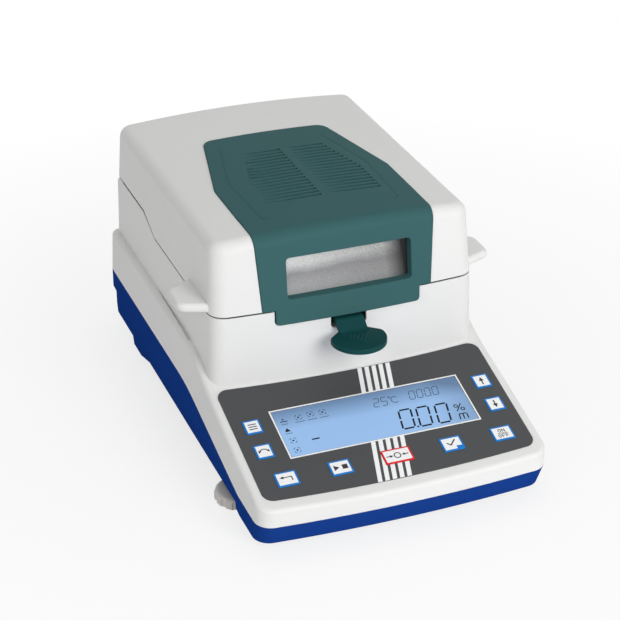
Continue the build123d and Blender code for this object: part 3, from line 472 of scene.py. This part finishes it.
# %% [markdown]
# Prints on the film, the key symbols and the display's digits are only an ink's thickness high.
# They could be a picture on the film, but then they would blur up close and have no edge. Here
# they are drawn flat as simple outlines, each outline becomes a bmesh face, and an extrusion of a
# few hundredths of a millimetre makes it a closed solid. A print is sunk a hair into what carries
# it, so that no light shows below it.

# %% Flat outlines to thin ink
INK = 0.05
SUNK = 0.01


def flat_faces(outlines):
    """A bmesh with one flat face for each outline, a loop of (x, y) points."""
    shape = bmesh.new()
    for outline in outlines:
        shape.faces.new([shape.verts.new((x, y, 0.0)) for x, y in outline])
    return shape


def moved_verts(made):
    """The vertices among the parts that a bmesh operator returns."""
    return [part for part in made["geom"] if isinstance(part, bmesh.types.BMVert)]


def thicken(shape, thickness):
    """Extrudes every flat face upwards to a closed solid."""
    raised = bmesh.ops.extrude_face_region(shape, geom=shape.faces[:], use_keep_orig=True)
    bmesh.ops.translate(shape, vec=(0, 0, thickness), verts=moved_verts(raised))
    bmesh.ops.recalc_face_normals(shape, faces=shape.faces)


print("ink:", INK, "mm thick")

# %% [markdown]
# A bmesh is only a shape in memory. To be seen it goes into a mesh, and the mesh into an object in
# the scene. On the real part a key's print moves with its key; the dark strip of painted shade in
# the lid's gap rides on the lid, so each piece also says which body it rides on and which of the
# part's materials it is made of. Parenting it by hand would do for one picture, but the joints
# would not know of it.

# %% A piece that rides on a body
def add_piece(name, shape, body, material):
    """Turns a finished bmesh into an object that rides on a body."""
    mesh = bpy.data.meshes.new(name)
    shape.to_mesh(mesh)
    shape.free()
    piece = bpy.data.objects.new(name, mesh)
    bpy.context.scene.collection.objects.link(piece)
    mesh.materials.append(material)
    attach(piece, body)
    print(f"{name}: {len(mesh.polygons)} faces on {body}")


def ink(name, outlines, matrix, body, material, thickness=INK):
    """A print made of flat outlines."""
    shape = flat_faces(outlines)
    thicken(shape, thickness)
    shape.transform(matrix)
    add_piece(name, shape, body, material)


# %% [markdown]
# A print on the deck has to be moved, turned and scaled to its place. The object could carry those
# three, but a piece's place belongs in its mesh here, so that its patterns neither slide nor turn.
# One matrix does all three to the mesh at once.

# %% From the drawing to the deck
def deck_matrix(x=0.0, v=0.0, height=0.0):
    """Millimetres on the deck, from (x, v), at a height above it, to metres in the frame."""
    start = DECK_ORIGIN + Vector((x, 0, 0)) * MM + deck_up * v * MM + deck_normal * height * MM
    turn = Matrix((Vector((1, 0, 0)), deck_up, deck_normal)).transposed().to_4x4()
    return Matrix.Translation(start) @ turn @ Matrix.Scale(MM, 4)


print("middle of the display:", deck_matrix(DISPLAY_X, DISPLAY_V).translation)

# %% [markdown]
# Every symbol on the deck comes down to four kinds of outline: a bar, a pen stroke along some
# points, an arc for that stroke to follow, and an arrow head. A curve object with a bevel could
# draw the strokes too, but it would have to be made a mesh first, and a few sums give the same
# corners.

# %% Bars, strokes and arrow heads
ARROW_BACK, ARROW_SPREAD = 0.6, 0.8


def bar(x0, y0, x1, y1):
    return [(x0, y0), (x1, y0), (x1, y1), (x0, y1)]


def arc(x, y, radius, start=0.0, end=360.0, steps=16):
    """Points on an arc, angles in degrees."""
    angles = [math.radians(start + (end - start) * i / steps) for i in range(steps + 1)]
    return [(x + radius * math.cos(a), y + radius * math.sin(a)) for a in angles]


def stroke(points, width, cap=0.0):
    """Outlines of a pen stroke through the points; each step is longer by a cap at both ends."""
    outlines = []
    for (x0, y0), (x1, y1) in zip(points, points[1:]):
        length = math.hypot(x1 - x0, y1 - y0)
        dx, dy = (x1 - x0) / length, (y1 - y0) / length
        x0, y0, x1, y1 = x0 - dx * cap, y0 - dy * cap, x1 + dx * cap, y1 + dy * cap
        ax, ay = -dy * width / 2, dx * width / 2
        outlines.append([(x0 + ax, y0 + ay), (x0 - ax, y0 - ay),
                         (x1 - ax, y1 - ay), (x1 + ax, y1 + ay)])
    return outlines


def arrow_head(x, y, angle, size):
    """A triangle whose tip is one size ahead of (x, y), in the direction of the angle."""
    cosine, sine = math.cos(math.radians(angle)), math.sin(math.radians(angle))
    back, spread = -size * ARROW_BACK, size * ARROW_SPREAD
    return [(x + a * cosine - b * sine, y + a * sine + b * cosine)
            for a, b in ((size, 0.0), (back, spread), (back, -spread))]


def dot(x, y, radius):
    """A round dot, an outline with twelve corners."""
    return arc(x, y, radius, 0, 330, 11)


print("outlines in a drawn ring:", len(stroke(arc(0, 0, 1), 0.1)))

# %% [markdown]
# Inks are nearly flat colours in real life too, but even a screen print has a little tooth. An ink
# could have a recipe of its own, yet a moulding with a finer, shallower grain looks the same. The
# small readings of a display are thin and pale, so they have an ink of their own.

# %% Inks
def printed(name, colour, roughness, gloss):
    return moulded(name, colour, roughness, grain=3000.0, depth=0.00001, gloss=gloss)


white_ink = printed("white_ink", rgba(0.95, 0.95, 0.95), 0.45, 0.2)
blue_ink = printed("blue_ink", BORDER_BLUE, 0.4, 0.2)
dark_ink = printed("dark_ink", rgba(0.010, 0.013, 0.020), 0.5, 0.1)
faint_ink = printed("faint_ink", rgba(0.045, 0.075, 0.12), 0.5, 0.1)
key_ink = printed("key_ink", rgba(0.05, 0.05, 0.055), 0.5, 0.1)
print("inks:", [finish.name for finish in (white_ink, blue_ink, dark_ink, faint_ink, key_ink)])

# %% [markdown]
# The power key has its usual ON and OFF. A text object could write them, but its letters have a
# typeface's curves and need hundreds of faces. At less than three millimetres the pen that draws
# the other symbols is enough, a little thinner, with the strokes of three capital letters.

# %% ON above OFF
PEN = 0.75
LETTER_PEN = 0.65 * PEN
LETTER_CAP = 0.25 * PEN
DIVIDER = bar(-3.6, -0.2, 3.6, 0.2)


def on_over_off(height, width, pitch, apart):
    """ON above OFF with a bar between them, from pen strokes, centred on the key."""
    w, h = width / 2, height / 2
    letter_o = [(w * math.cos(math.radians(45 * step)), h * math.sin(math.radians(45 * step)))
                for step in range(9)]
    shapes = {"O": [letter_o], "N": [[(-w, -h), (-w, h), (w, -h), (w, h)]],
              "F": [[(-w, -h), (-w, h), (w, h)], [(-w, 0), (w * 0.7, 0)]]}
    outlines = [DIVIDER]
    for word, y in (("ON", apart), ("OFF", -apart)):
        for index, letter in enumerate(word):
            shift = (index - (len(word) - 1) / 2) * pitch
            for line in shapes[letter]:
                outlines += stroke([(a + shift, b + y) for a, b in line], LETTER_PEN, LETTER_CAP)
    return outlines


on_off_symbol = on_over_off(height=2.7, width=1.9, pitch=2.9, apart=2.4)
print("strokes in ON and OFF:", len(on_off_symbol) - 1)

# %% [markdown]
# The other keys carry plain symbols: a list, a swap arrow, a step back, start and stop, an arrow
# to zero from both sides, a tick and two arrows. Each is drawn round the middle of its key, in
# millimetres, and rides on its key, so that it goes down when the key is pressed. The tick's key
# also has a small blue corner, a print below the symbol's own ink.

# %% Key symbols
KEY_TOP = 1.0
CORNER_SUNK = 0.015
ENTER_CORNER = bar(2.2, -5.75, 6.8, -2.6)

symbols = {
    "key_menu": [bar(-3.0, y - 0.4, 3.0, y + 0.4) for y in (-2.2, 0.0, 2.2)],
    "key_swap_unit": stroke(arc(0, -1.6, 3.4, 30, 150), PEN) + [
        arrow_head(3.3, -0.2, -60, 1.4), arrow_head(-3.3, -0.2, 240, 1.4)],
    "key_escape": stroke([(3.6, -2.0), (3.6, 1.2), (-2.0, 1.2)], PEN, PEN / 2) + [
        arrow_head(-3.2, 1.2, 180, 1.7)],
    "key_start_stop": [[(-4.9, -2.4), (-4.9, 2.4), (-1.0, 0.0)], bar(1.1, -2.0, 5.1, 2.0)],
    "key_tare": stroke(arc(0, 0, 2.3, 0, 360, 28), PEN) + [
        arrow_head(-4.6, 0, 0, 1.5), arrow_head(4.6, 0, 180, 1.5),
        bar(-8.2, -PEN / 2, -5.2, PEN / 2), bar(5.2, -PEN / 2, 8.2, PEN / 2)],
    "key_enter": stroke([(-3.4, 1.0), (-1.2, -1.2), (3.0, 3.2)], 0.95, 0.3),
    "key_on_off": on_off_symbol,
    "key_up": [arrow_head(0, 1.4, 90, 2.3), bar(-0.5, -3.5, 0.5, 0.4)],
    "key_down": [arrow_head(0, -1.4, 270, 2.3), bar(-0.5, -0.4, 0.5, 3.5)],
}
for key, place in KEY_PLACES.items():
    ink(f"{key}_symbol", symbols[key], deck_matrix(*place[:2], KEY_TOP - SUNK), key,
        key_ink)
ink("key_enter_corner", [ENTER_CORNER],
    deck_matrix(*KEY_PLACES["key_enter"][:2], KEY_TOP - CORNER_SUNK), "key_enter",
    blue_ink)

# %% [markdown]
# A liquid crystal's digits are seven bars that lean to the right. Each digit could be a drawing of
# its own. One function that knows the seven bars, and which of them are lit, draws them all, so
# the weight, the time and the temperature share it.

# %% Seven-bar digits
BARS = {"0": "abcdef", "2": "abged", "5": "afgcd"}
DIGIT_WIDTH = 0.52
DIGIT_LEAN = 0.18
BAR_GAP = 0.55


def digit(symbol, x, y, height, weight):
    """Outlines of a seven-bar digit with its lower left corner at (x, y)."""
    w, h = height * DIGIT_WIDTH, height
    bars = {
        "a": ((0, h), (w, h)), "b": ((w, h), (w, h / 2)), "c": ((w, h / 2), (w, 0)),
        "d": ((0, 0), (w, 0)), "e": ((0, 0), (0, h / 2)), "f": ((0, h / 2), (0, h)),
        "g": ((0, h / 2), (w, h / 2)),
    }
    outlines = []
    for name in BARS[symbol]:
        for outline in stroke(bars[name], weight, -weight * BAR_GAP):
            outlines.append([(x + a + b * DIGIT_LEAN, y + b) for a, b in outline])
    return outlines


print("bars lit:", {symbol: len(digit(symbol, 0, 0, 1.0, 0.1)) for symbol in BARS})

# %% [markdown]
# The weight stands large and low at the right of the display, with a percent sign and an m behind
# it, and a minus sign alone on the left. Like every print here it could be text in a ready-made
# typeface, but a liquid crystal has only its own bars and a few fixed signs, which the pen draws
# in the deck's coordinates.

# %% The weight reading
DISPLAY_TOP = 0.4
READING_INK = 0.04
BIG, BIG_WEIGHT = 17.6, 1.4
BIG_PLACES = ((15.1, 39.5), (28.3, 38.8), (42.3, 38.1))
SIGN_PEN, RING_PEN, RING = 0.8, 0.75, 1.35
M_PEN = 0.9
M_LEGS = ([(58.6, 37.6), (59.4, 42.6)], [(61.6, 37.6), (62.2, 42.2)], [(64.7, 37.6), (65.2, 42.0)])
M_ARCHES = [(59.3, 42.3), (60.6, 43.1), (62.1, 42.4), (63.6, 43.0), (65.1, 42.2)]

readings = []
for x, v in BIG_PLACES:
    readings += digit("0", x, v, BIG, BIG_WEIGHT)
readings.append(dot(26.3, 39.2, 0.8))
readings += stroke([(59.4, 45.8), (64.6, 52.6)], SIGN_PEN)
for x, v in ((60.2, 50.8), (64.2, 47.2)):
    readings += stroke(arc(x, v, RING), RING_PEN)
for points in (*M_LEGS, M_ARCHES):
    readings += stroke(points, M_PEN)
readings.append(bar(-50.5, 46.7, -44.8, 47.9))
ink("display_readings", readings, deck_matrix(height=DISPLAY_TOP), "root", dark_ink,
    READING_INK)

# %% [markdown]
# The temperature and the time are small, thin and paler, at the top of the display. They are the
# same digits with another height and weight, in their own ink. The degree sign is a tiny ring and
# the C an open arc.

# %% The temperature and the time
SMALL, SMALL_WEIGHT = 7.9, 0.55
TEMPERATURE_V, TIME_V = 64.6, 65.2

small_readings = (digit("2", 3.4, TEMPERATURE_V, SMALL, SMALL_WEIGHT)
                  + digit("5", 9.4, TEMPERATURE_V, SMALL, SMALL_WEIGHT))
small_readings += stroke(arc(16.9, 71.3, 0.8, 0, 360, 10), 0.45)
small_readings += stroke(arc(20.4, 68.2, 2.9, 50, 310, 12), SMALL_WEIGHT)
for x in (31.2, 37.2, 43.3, 49.3):
    small_readings += digit("0", x, TIME_V, SMALL, SMALL_WEIGHT)
ink("display_small_readings", small_readings, deck_matrix(height=DISPLAY_TOP), "root",
    faint_ink, READING_INK)

# %% [markdown]
# Small marks for the heating programmes stand along the left end and the top: a dot in a broken
# ring, some of them underlined, with a pan and a triangle at the far left. Fine drawings could be
# made of them, but they are five millimetres wide, so plain shapes in the display's dark ink are
# enough.

# %% Programme marks
MARK_INK = 0.03
MARK_RING, MARK_PEN, MARK_DOT = 2.5, 0.4, 0.75
RING_PARTS, RING_PART = (20, 110, 200, 290), 50
LOW_MARKS = ((-63.3, 49.8), (-63.6, 40.6))
TOP_MARKS = ((-52.5, 69.7), (-43.3, 70.5), (-34.3, 70.1))
UNDERLINE_HALF, UNDERLINE_LOW, UNDERLINE_HIGH = 3.6, 65.3, 65.7

marks = []
for x, v in (*LOW_MARKS, *TOP_MARKS):
    for start in RING_PARTS:
        marks += stroke(arc(x, v, MARK_RING, start, start + RING_PART, 4), MARK_PEN)
    marks.append(dot(x, v, MARK_DOT))
marks += [bar(x - UNDERLINE_HALF, UNDERLINE_LOW, x + UNDERLINE_HALF, UNDERLINE_HIGH)
          for x, _ in TOP_MARKS]
marks += [bar(-66.4, 68.0, -61.0, 68.8), dot(-63.9, 70.4, 0.7), bar(-66.4, 65.6, -61.4, 66.0)]
marks += [[(-66.2, 58.6), (-61.8, 58.6), (-64.0, 62.0)], bar(-66.4, 56.6, -61.4, 57.0)]
ink("display_marks", marks, deck_matrix(height=DISPLAY_TOP), "root", dark_ink, MARK_INK)

# %% [markdown]
# The film has a thin white line printed round the display's opening. A larger white sheet below
# the film would show the same edge, but four bars are what the printer lays down, and they leave
# the display itself free.

# %% The display's frame
FILM_TOP = 0.5
FRAME_HALF = (72.0, 23.2)
FRAME_WIDTH = 1.1


def border(x0, y0, x1, y1, width):
    """Four bars inside a rectangle's edge."""
    return [bar(x0, y0, x1, y0 + width), bar(x0, y1 - width, x1, y1),
            bar(x0, y0 + width, x0 + width, y1 - width),
            bar(x1 - width, y0 + width, x1, y1 - width)]


frame_line = border(DISPLAY_X - FRAME_HALF[0], DISPLAY_V - FRAME_HALF[1],
                    DISPLAY_X + FRAME_HALF[0], DISPLAY_V + FRAME_HALF[1], FRAME_WIDTH)
ink("display_frame", frame_line, deck_matrix(height=FILM_TOP - SUNK), "root",
    white_ink)

# %% [markdown]
# A band of plain white stripes crosses the film above and below the display, and it leans to the
# right. Equal stripes with equal gaps are a generic pattern. They could be a mask in the film's
# finish, but printed bars keep a sharp edge at any distance. The stripes stop at the display's
# frame and beside the key that lies in their way, where a bisecting plane cuts them off.

# %% Stripes on the film
STRIPE_COUNT = 5
STRIPE_WIDTH, STRIPE_GAP = 3.3, 2.15
BAND_X, BAND_LEAN = -20.23, 0.248
FILM_LOW, FILM_HIGH = -2.2, 104.4
ZERO_KEY_LEFT, ZERO_KEY_LOW, ZERO_KEY_HIGH = -9.45, 10.65, 23.95
FRAME_LOW, FRAME_HIGH = DISPLAY_V - FRAME_HALF[1], DISPLAY_V + FRAME_HALF[1]


def stripes(v_low, v_high, x_limit=None):
    """Slanted stripes between two heights on the deck, cut off at a limit in x."""
    outlines = []
    for index in range(STRIPE_COUNT):
        shift = BAND_X + index * (STRIPE_WIDTH + STRIPE_GAP)
        low, high = shift + v_low * BAND_LEAN, shift + v_high * BAND_LEAN
        outlines.append([(low, v_low), (low + STRIPE_WIDTH, v_low),
                         (high + STRIPE_WIDTH, v_high), (high, v_high)])
    shape = flat_faces(outlines)
    if x_limit is not None:
        bmesh.ops.bisect_plane(shape, geom=shape.verts[:] + shape.edges[:] + shape.faces[:],
                               plane_co=(x_limit, 0, 0), plane_no=(1, 0, 0), clear_outer=True)
    thicken(shape, INK)
    shape.transform(deck_matrix(height=FILM_TOP - SUNK))
    return shape


for name, v_low, v_high, x_limit in (
        ("stripes_above", FRAME_HIGH, FILM_HIGH, None),
        ("stripes_below", ZERO_KEY_HIGH, FRAME_LOW, None),
        ("stripes_beside_key", ZERO_KEY_LOW, ZERO_KEY_HIGH, ZERO_KEY_LEFT),
        ("stripes_at_front", FILM_LOW, ZERO_KEY_LOW, None)):
    add_piece(name, stripes(v_low, v_high, x_limit), "root", white_ink)

# %% [markdown]
# The pan lifter's grip has a small triangle of raised dots for the thumb, pointing forwards. A
# bump in the finish would shade them, but the light would not catch their rims from the side. They
# are real shapes here, icospheres a little flattened, with only twenty faces each.

# %% Thumb dots on the lifter's grip
GRIP_TOP = 101.8
DOT_RADIUS, DOT_FLATTENED = 0.62, 0.75
DOT_PITCH, ROW_PITCH = 3.2, 2.5
DOTS_X, DOTS_REAR_Y = 1.5, -84.0
DOTS_IN_ROW = (5, 4, 3, 2, 1)

dots = bmesh.new()
for row, count in enumerate(DOTS_IN_ROW):
    for column in range(count):
        place = (DOTS_X + (column - (count - 1) / 2) * DOT_PITCH,
                 DOTS_REAR_Y - row * ROW_PITCH, GRIP_TOP)
        ball = bmesh.ops.create_icosphere(dots, subdivisions=1, radius=DOT_RADIUS)
        bmesh.ops.scale(dots, vec=(1, 1, DOT_FLATTENED), verts=ball["verts"])
        bmesh.ops.translate(dots, vec=place, verts=ball["verts"])
dots.transform(Matrix.Scale(MM, 4))
add_piece("lifter_dots", dots, "pan_lifter", teal_abs)

# %% [markdown]
# The coloured panel has a low raised line on each side of its louvres, which follows the panel's
# edge and turns in at the front. It could be carved into the panel, but it stands only a tenth of
# a millimetre proud, too little for the CAD model. So the line is drawn flat, subdivided so that
# it can bend, thickened, and then bent down over the crown of the lid.

# %% Raised lines on the coloured panel
LID_TOP_Z = 180.0
LID_CROWN, CROWN_REACH = 4.9, 100.0
LINE_POINTS = [(41.3, 90.2), (54.5, 31.9), (51.9, -32.4), (47.3, -35.3)]
LINE_WIDTH, LINE_CAP = 1.5, 0.5
LINE_RISE, LINE_DEPTH = 0.12, 0.3

lines = flat_faces([outline for side in (-1, 1) for outline in
                    stroke([(side * x, y) for x, y in LINE_POINTS], LINE_WIDTH, LINE_CAP)])
bmesh.ops.subdivide_edges(lines, edges=lines.edges[:], cuts=3, use_grid_fill=True)
thicken(lines, LINE_RISE + LINE_DEPTH)
for vert in lines.verts:
    vert.co.z += LID_TOP_Z - LINE_DEPTH - LID_CROWN * (vert.co.x / CROWN_REACH) ** 2
lines.transform(Matrix.Scale(MM, 4))
add_piece("panel_lines", lines, "lid", teal_abs)

# %% [markdown]
# A dark strip lies in the gap between the lid and the housing, painted shade where the gap is
# dark. It starts at the front beside the panel's tab, turns the corner and runs back along the
# side, up the step and on to the hinge. A curve with a bevel would twist at the step, so the
# strip's path is worked out first, point by point.

# %% The path of the painted gap shade
SPLIT_Z, SPLIT_REAR_Z = 121.95, 132.2
STEP_FRONT, STEP_REAR = 74.5, 104.0
SIDE_X, FRONT_Y, CORNER = 100.2, -67.4, 12.4
FRONT_BOW, BOW_REACH, CORNER_BOW = 4.7, 100.0, 0.9
# where the dark strip of painted shade starts, runs along the side and ends
GAP_SHADE_FRONT_X, GAP_SHADE_SIDE_Y, GAP_SHADE_END_Y = (57.5, 68.0, 78.0), (-40.0, 20.0), 160.0
CORNER_STEPS = 6


def bowed(x):
    """The y of the casing's front, which bows forwards in the middle."""
    return FRONT_Y + FRONT_BOW * (x / BOW_REACH) ** 2


def gap_shade_path():
    """Points of the painted gap shade's outer edge on the right, from the front to the rear, in
    mm.
    """
    flat_x = SIDE_X - CORNER
    path = [(x, bowed(x), SPLIT_Z) for x in (*GAP_SHADE_FRONT_X, flat_x)]
    corner_y = FRONT_Y + (bowed(SIDE_X) - FRONT_Y) * CORNER_BOW + CORNER
    for step in range(1, CORNER_STEPS + 1):
        angle = math.radians(-90 + 90 / CORNER_STEPS * step)
        path.append((flat_x + CORNER * math.cos(angle), corner_y + CORNER * math.sin(angle),
                     SPLIT_Z))
    path += [(SIDE_X, y, SPLIT_Z) for y in (*GAP_SHADE_SIDE_Y, STEP_FRONT)]
    return path + [(SIDE_X, y, SPLIT_REAR_Z) for y in (STEP_REAR, GAP_SHADE_END_Y)]


gap_shade_points = gap_shade_path()
print("seal points:", len(gap_shade_points))

# %% [markdown]
# A small rectangle at the start of the path is now extruded to each next point in turn, and its
# four corners are set square to the path there. The left half is a mirrored copy. A negative scale
# turns its faces inside out, so the normals are worked out again at the end.

# %% The painted shade in the gap
# the strip of painted shade: its inset from the outline, its width and its height
GAP_SHADE_INSET, GAP_SHADE_WIDTH, GAP_SHADE_HEIGHT = 0.35, 1.6, 1.1


def gap_shade_section(index):
    """The strip's four corners at one point of the path, inwards from the outline."""
    before = gap_shade_points[max(index - 1, 0)]
    after = gap_shade_points[min(index + 1, len(gap_shade_points) - 1)]
    ahead = Vector((after[0] - before[0], after[1] - before[1])).normalized()
    inward = Vector((-ahead.y, ahead.x))
    x, y, z = gap_shade_points[index]
    corners = []
    for depth, height in ((0, -1), (1, -1), (1, 1), (0, 1)):
        shift = inward * (GAP_SHADE_INSET + depth * GAP_SHADE_WIDTH)
        corners.append(Vector((x + shift.x, y + shift.y, z + height * GAP_SHADE_HEIGHT / 2)))
    return corners


gap_shade_strip = bmesh.new()
face = gap_shade_strip.faces.new([gap_shade_strip.verts.new(corner) for corner in gap_shade_section(0)])
for index in range(1, len(gap_shade_points)):
    face = bmesh.ops.extrude_discrete_faces(gap_shade_strip, faces=[face])["faces"][0]
    for vert, corner in zip(face.verts, gap_shade_section(index)):
        vert.co = corner
bmesh.ops.recalc_face_normals(gap_shade_strip, faces=gap_shade_strip.faces)
mirrored = bmesh.ops.duplicate(gap_shade_strip, geom=gap_shade_strip.verts[:] + gap_shade_strip.edges[:] + gap_shade_strip.faces[:])
bmesh.ops.scale(gap_shade_strip, vec=(-1, 1, 1), verts=moved_verts(mirrored))
bmesh.ops.recalc_face_normals(gap_shade_strip, faces=gap_shade_strip.faces)
gap_shade_strip.transform(Matrix.Scale(MM, 4))
# a dark strip of painted shade in the gap between the lid and the housing
add_piece("lid_gap_painted_shade", gap_shade_strip, "lid", rubber)

# %% [markdown]
# The serial socket at the rear is a metal shell round a black insert with nine contacts in two
# rows, and a threaded hole on each side. Modelled in full it would need hundreds of faces for a
# piece that is seldom seen, so all three are drawn flat, like a print, on a plane that faces
# backwards. Each threaded hole is a black disc of painted shade.

# %% The serial socket's insert
SOCKET_X, SOCKET_Z = 38.0, 104.0
SHELL_Y, FLANGE_Y = 183.1, 183.0
INSERT_FACE = [(-7.7, 3.6), (-6.5, -3.6), (6.5, -3.6), (7.7, 3.6)]
CONTACT_PITCH, CONTACT_ROW, CONTACT_RADIUS = 2.77, 1.42, 0.5
CONTACT_PROUD = 0.02
HOLE_X, HOLE_RADIUS = 12.5, 1.2


def rear_matrix(y):
    """Millimetres round the socket's middle, seen from behind, to metres in the frame."""
    turn = Matrix(((-1, 0, 0), (0, 0, 1), (0, 1, 0))).transposed().to_4x4()
    return Matrix.Translation(Vector((SOCKET_X, y, SOCKET_Z)) * MM) @ turn @ Matrix.Scale(MM, 4)


contacts = [dot((index - (count - 1) / 2) * CONTACT_PITCH, row, CONTACT_RADIUS)
            for count, row in ((5, CONTACT_ROW), (4, -CONTACT_ROW)) for index in range(count)]
# black discs of painted shade for the two threaded holes
post_hole_painted_shade = [dot(side * HOLE_X, 0.0, HOLE_RADIUS) for side in (-1, 1)]
ink("serial_insert", [INSERT_FACE], rear_matrix(SHELL_Y - SUNK), "root",
    black_plastic)
ink("serial_contacts", contacts, rear_matrix(SHELL_Y + CONTACT_PROUD), "root", brass)
ink("serial_post_hole_painted_shade", post_hole_painted_shade, rear_matrix(FLANGE_Y - SUNK), "root",
    black_plastic)

# %% [markdown]
# The studio is a white world, a pale floor and three soft lamps. A white background could come
# from more light, but that would wash out the object too. So the world lights it at about a
# third of its full strength, while a ray straight from the camera, in a mirror or through glass
# sees it at full white.

# %% The world
WORLD_LIGHT = 0.35


def seen_directly(tree):
    """One for rays from the camera, in a mirror or through glass, and zero for scattered light."""
    path = tree.nodes.new("ShaderNodeLightPath")
    total = path.outputs["Is Camera Ray"]
    for name in ("Is Glossy Ray", "Is Transmission Ray"):
        larger = tree.nodes.new("ShaderNodeMath")
        larger.operation = "MAXIMUM"
        tree.links.new(total, larger.inputs[0])
        tree.links.new(path.outputs[name], larger.inputs[1])
        total = larger.outputs[0]
    return total


world = bpy.data.worlds.new("studio")
bpy.context.scene.world = world
world.use_nodes = True
sky = world.node_tree
background = sky.nodes["Background"]
background.inputs["Color"].default_value = PLAIN_WHITE
background.inputs["Strength"].default_value = WORLD_LIGHT
backdrop = sky.nodes.new("ShaderNodeBackground")
backdrop.inputs["Color"].default_value = PLAIN_WHITE
backdrop.inputs["Strength"].default_value = 1.0
chooser = sky.nodes.new("ShaderNodeMixShader")
sky.links.new(seen_directly(sky), chooser.inputs[0])
sky.links.new(background.outputs[0], chooser.inputs[1])
sky.links.new(backdrop.outputs[0], chooser.inputs[2])
sky.links.new(chooser.outputs[0], sky.nodes["World Output"].inputs[0])
print("world light:", WORLD_LIGHT)

# %% [markdown]
# The floor takes the object's shadow. A plain pale floor would look grey against the white world
# and show a horizon, and a floor that only glows would lose the shadow. So it is a mix: near the
# object a little of the plain surface shows through the glow, and further out it glows at exactly
# white.

# %% The floor
FLOOR_SIZE = 8.0
GLOW_NEAR, GLOW_STARTS, GLOW_RATE = 0.85, 0.3, 0.5

floor_shape = bmesh.new()
bmesh.ops.create_grid(floor_shape, x_segments=2, y_segments=2, size=FLOOR_SIZE / 2)
floor_mesh = bpy.data.meshes.new("floor")
floor_shape.to_mesh(floor_mesh)
floor_shape.free()
floor = bpy.data.objects.new("floor", floor_mesh)
bpy.context.scene.collection.objects.link(floor)
pale_floor = Finish("pale_floor")
pale_floor.set(Base_Color=rgba(0.93, 0.93, 0.93), Roughness=0.8, Specular_IOR_Level=0.0)
distance = pale_floor.node("ShaderNodeVectorMath", {"operation": "LENGTH"},
                           {0: pale_floor.place()}, output="Value")
glow_share = (GLOW_NEAR + (distance - GLOW_STARTS) * GLOW_RATE).clamped()
direct = ShaderMath(pale_floor, seen_directly(pale_floor.tree))
surface = ShaderMath(pale_floor, pale_floor.shader.outputs[0])
white_glow = pale_floor.node("ShaderNodeEmission", None, {"Color": PLAIN_WHITE})
floor_mix = pale_floor.node("ShaderNodeMixShader", None,
                            {0: glow_share * direct, 1: surface, 2: white_glow})
pale_floor.feed(pale_floor.tree.nodes["Material Output"].inputs[0], floor_mix)
floor_mesh.materials.append(pale_floor.material)
print("floor:", FLOOR_SIZE, "m wide")

# %% [markdown]
# Three soft lamps light the object. A single sun would give hard shadows that a product photograph
# avoids, so each lamp is a wide disc. The key lamp stands in front and a little to the right,
# because the front of the casing is its brightest side, and the others only lift the top and the
# left. The view transform Standard shows each colour about as it is written.

# %% Three soft lamps
AIM_POINT = Vector((0, 0, 0.08))
LAMPS = {  # place in metres, width in metres, power in watts
    "key": ((0.45, -1.8, 0.95), 1.2, 24.0),
    "top": ((0.2, 0.5, 1.8), 1.6, 4.2),
    "fill": ((-1.5, -0.9, 0.9), 1.4, 4.6),
}
for name, (place, size, power) in LAMPS.items():
    lamp_data = bpy.data.lights.new(name, "AREA")
    lamp_data.shape = "DISK"
    lamp_data.size = size
    lamp_data.energy = power
    lamp = bpy.data.objects.new(name, lamp_data)
    bpy.context.scene.collection.objects.link(lamp)
    lamp.location = place
    lamp.rotation_euler = (Vector(place) - AIM_POINT).to_track_quat("Z", "Y").to_euler()
    print(f"{name} lamp: {power} W over {size} m")
bpy.context.scene.view_settings.view_transform = "Standard"
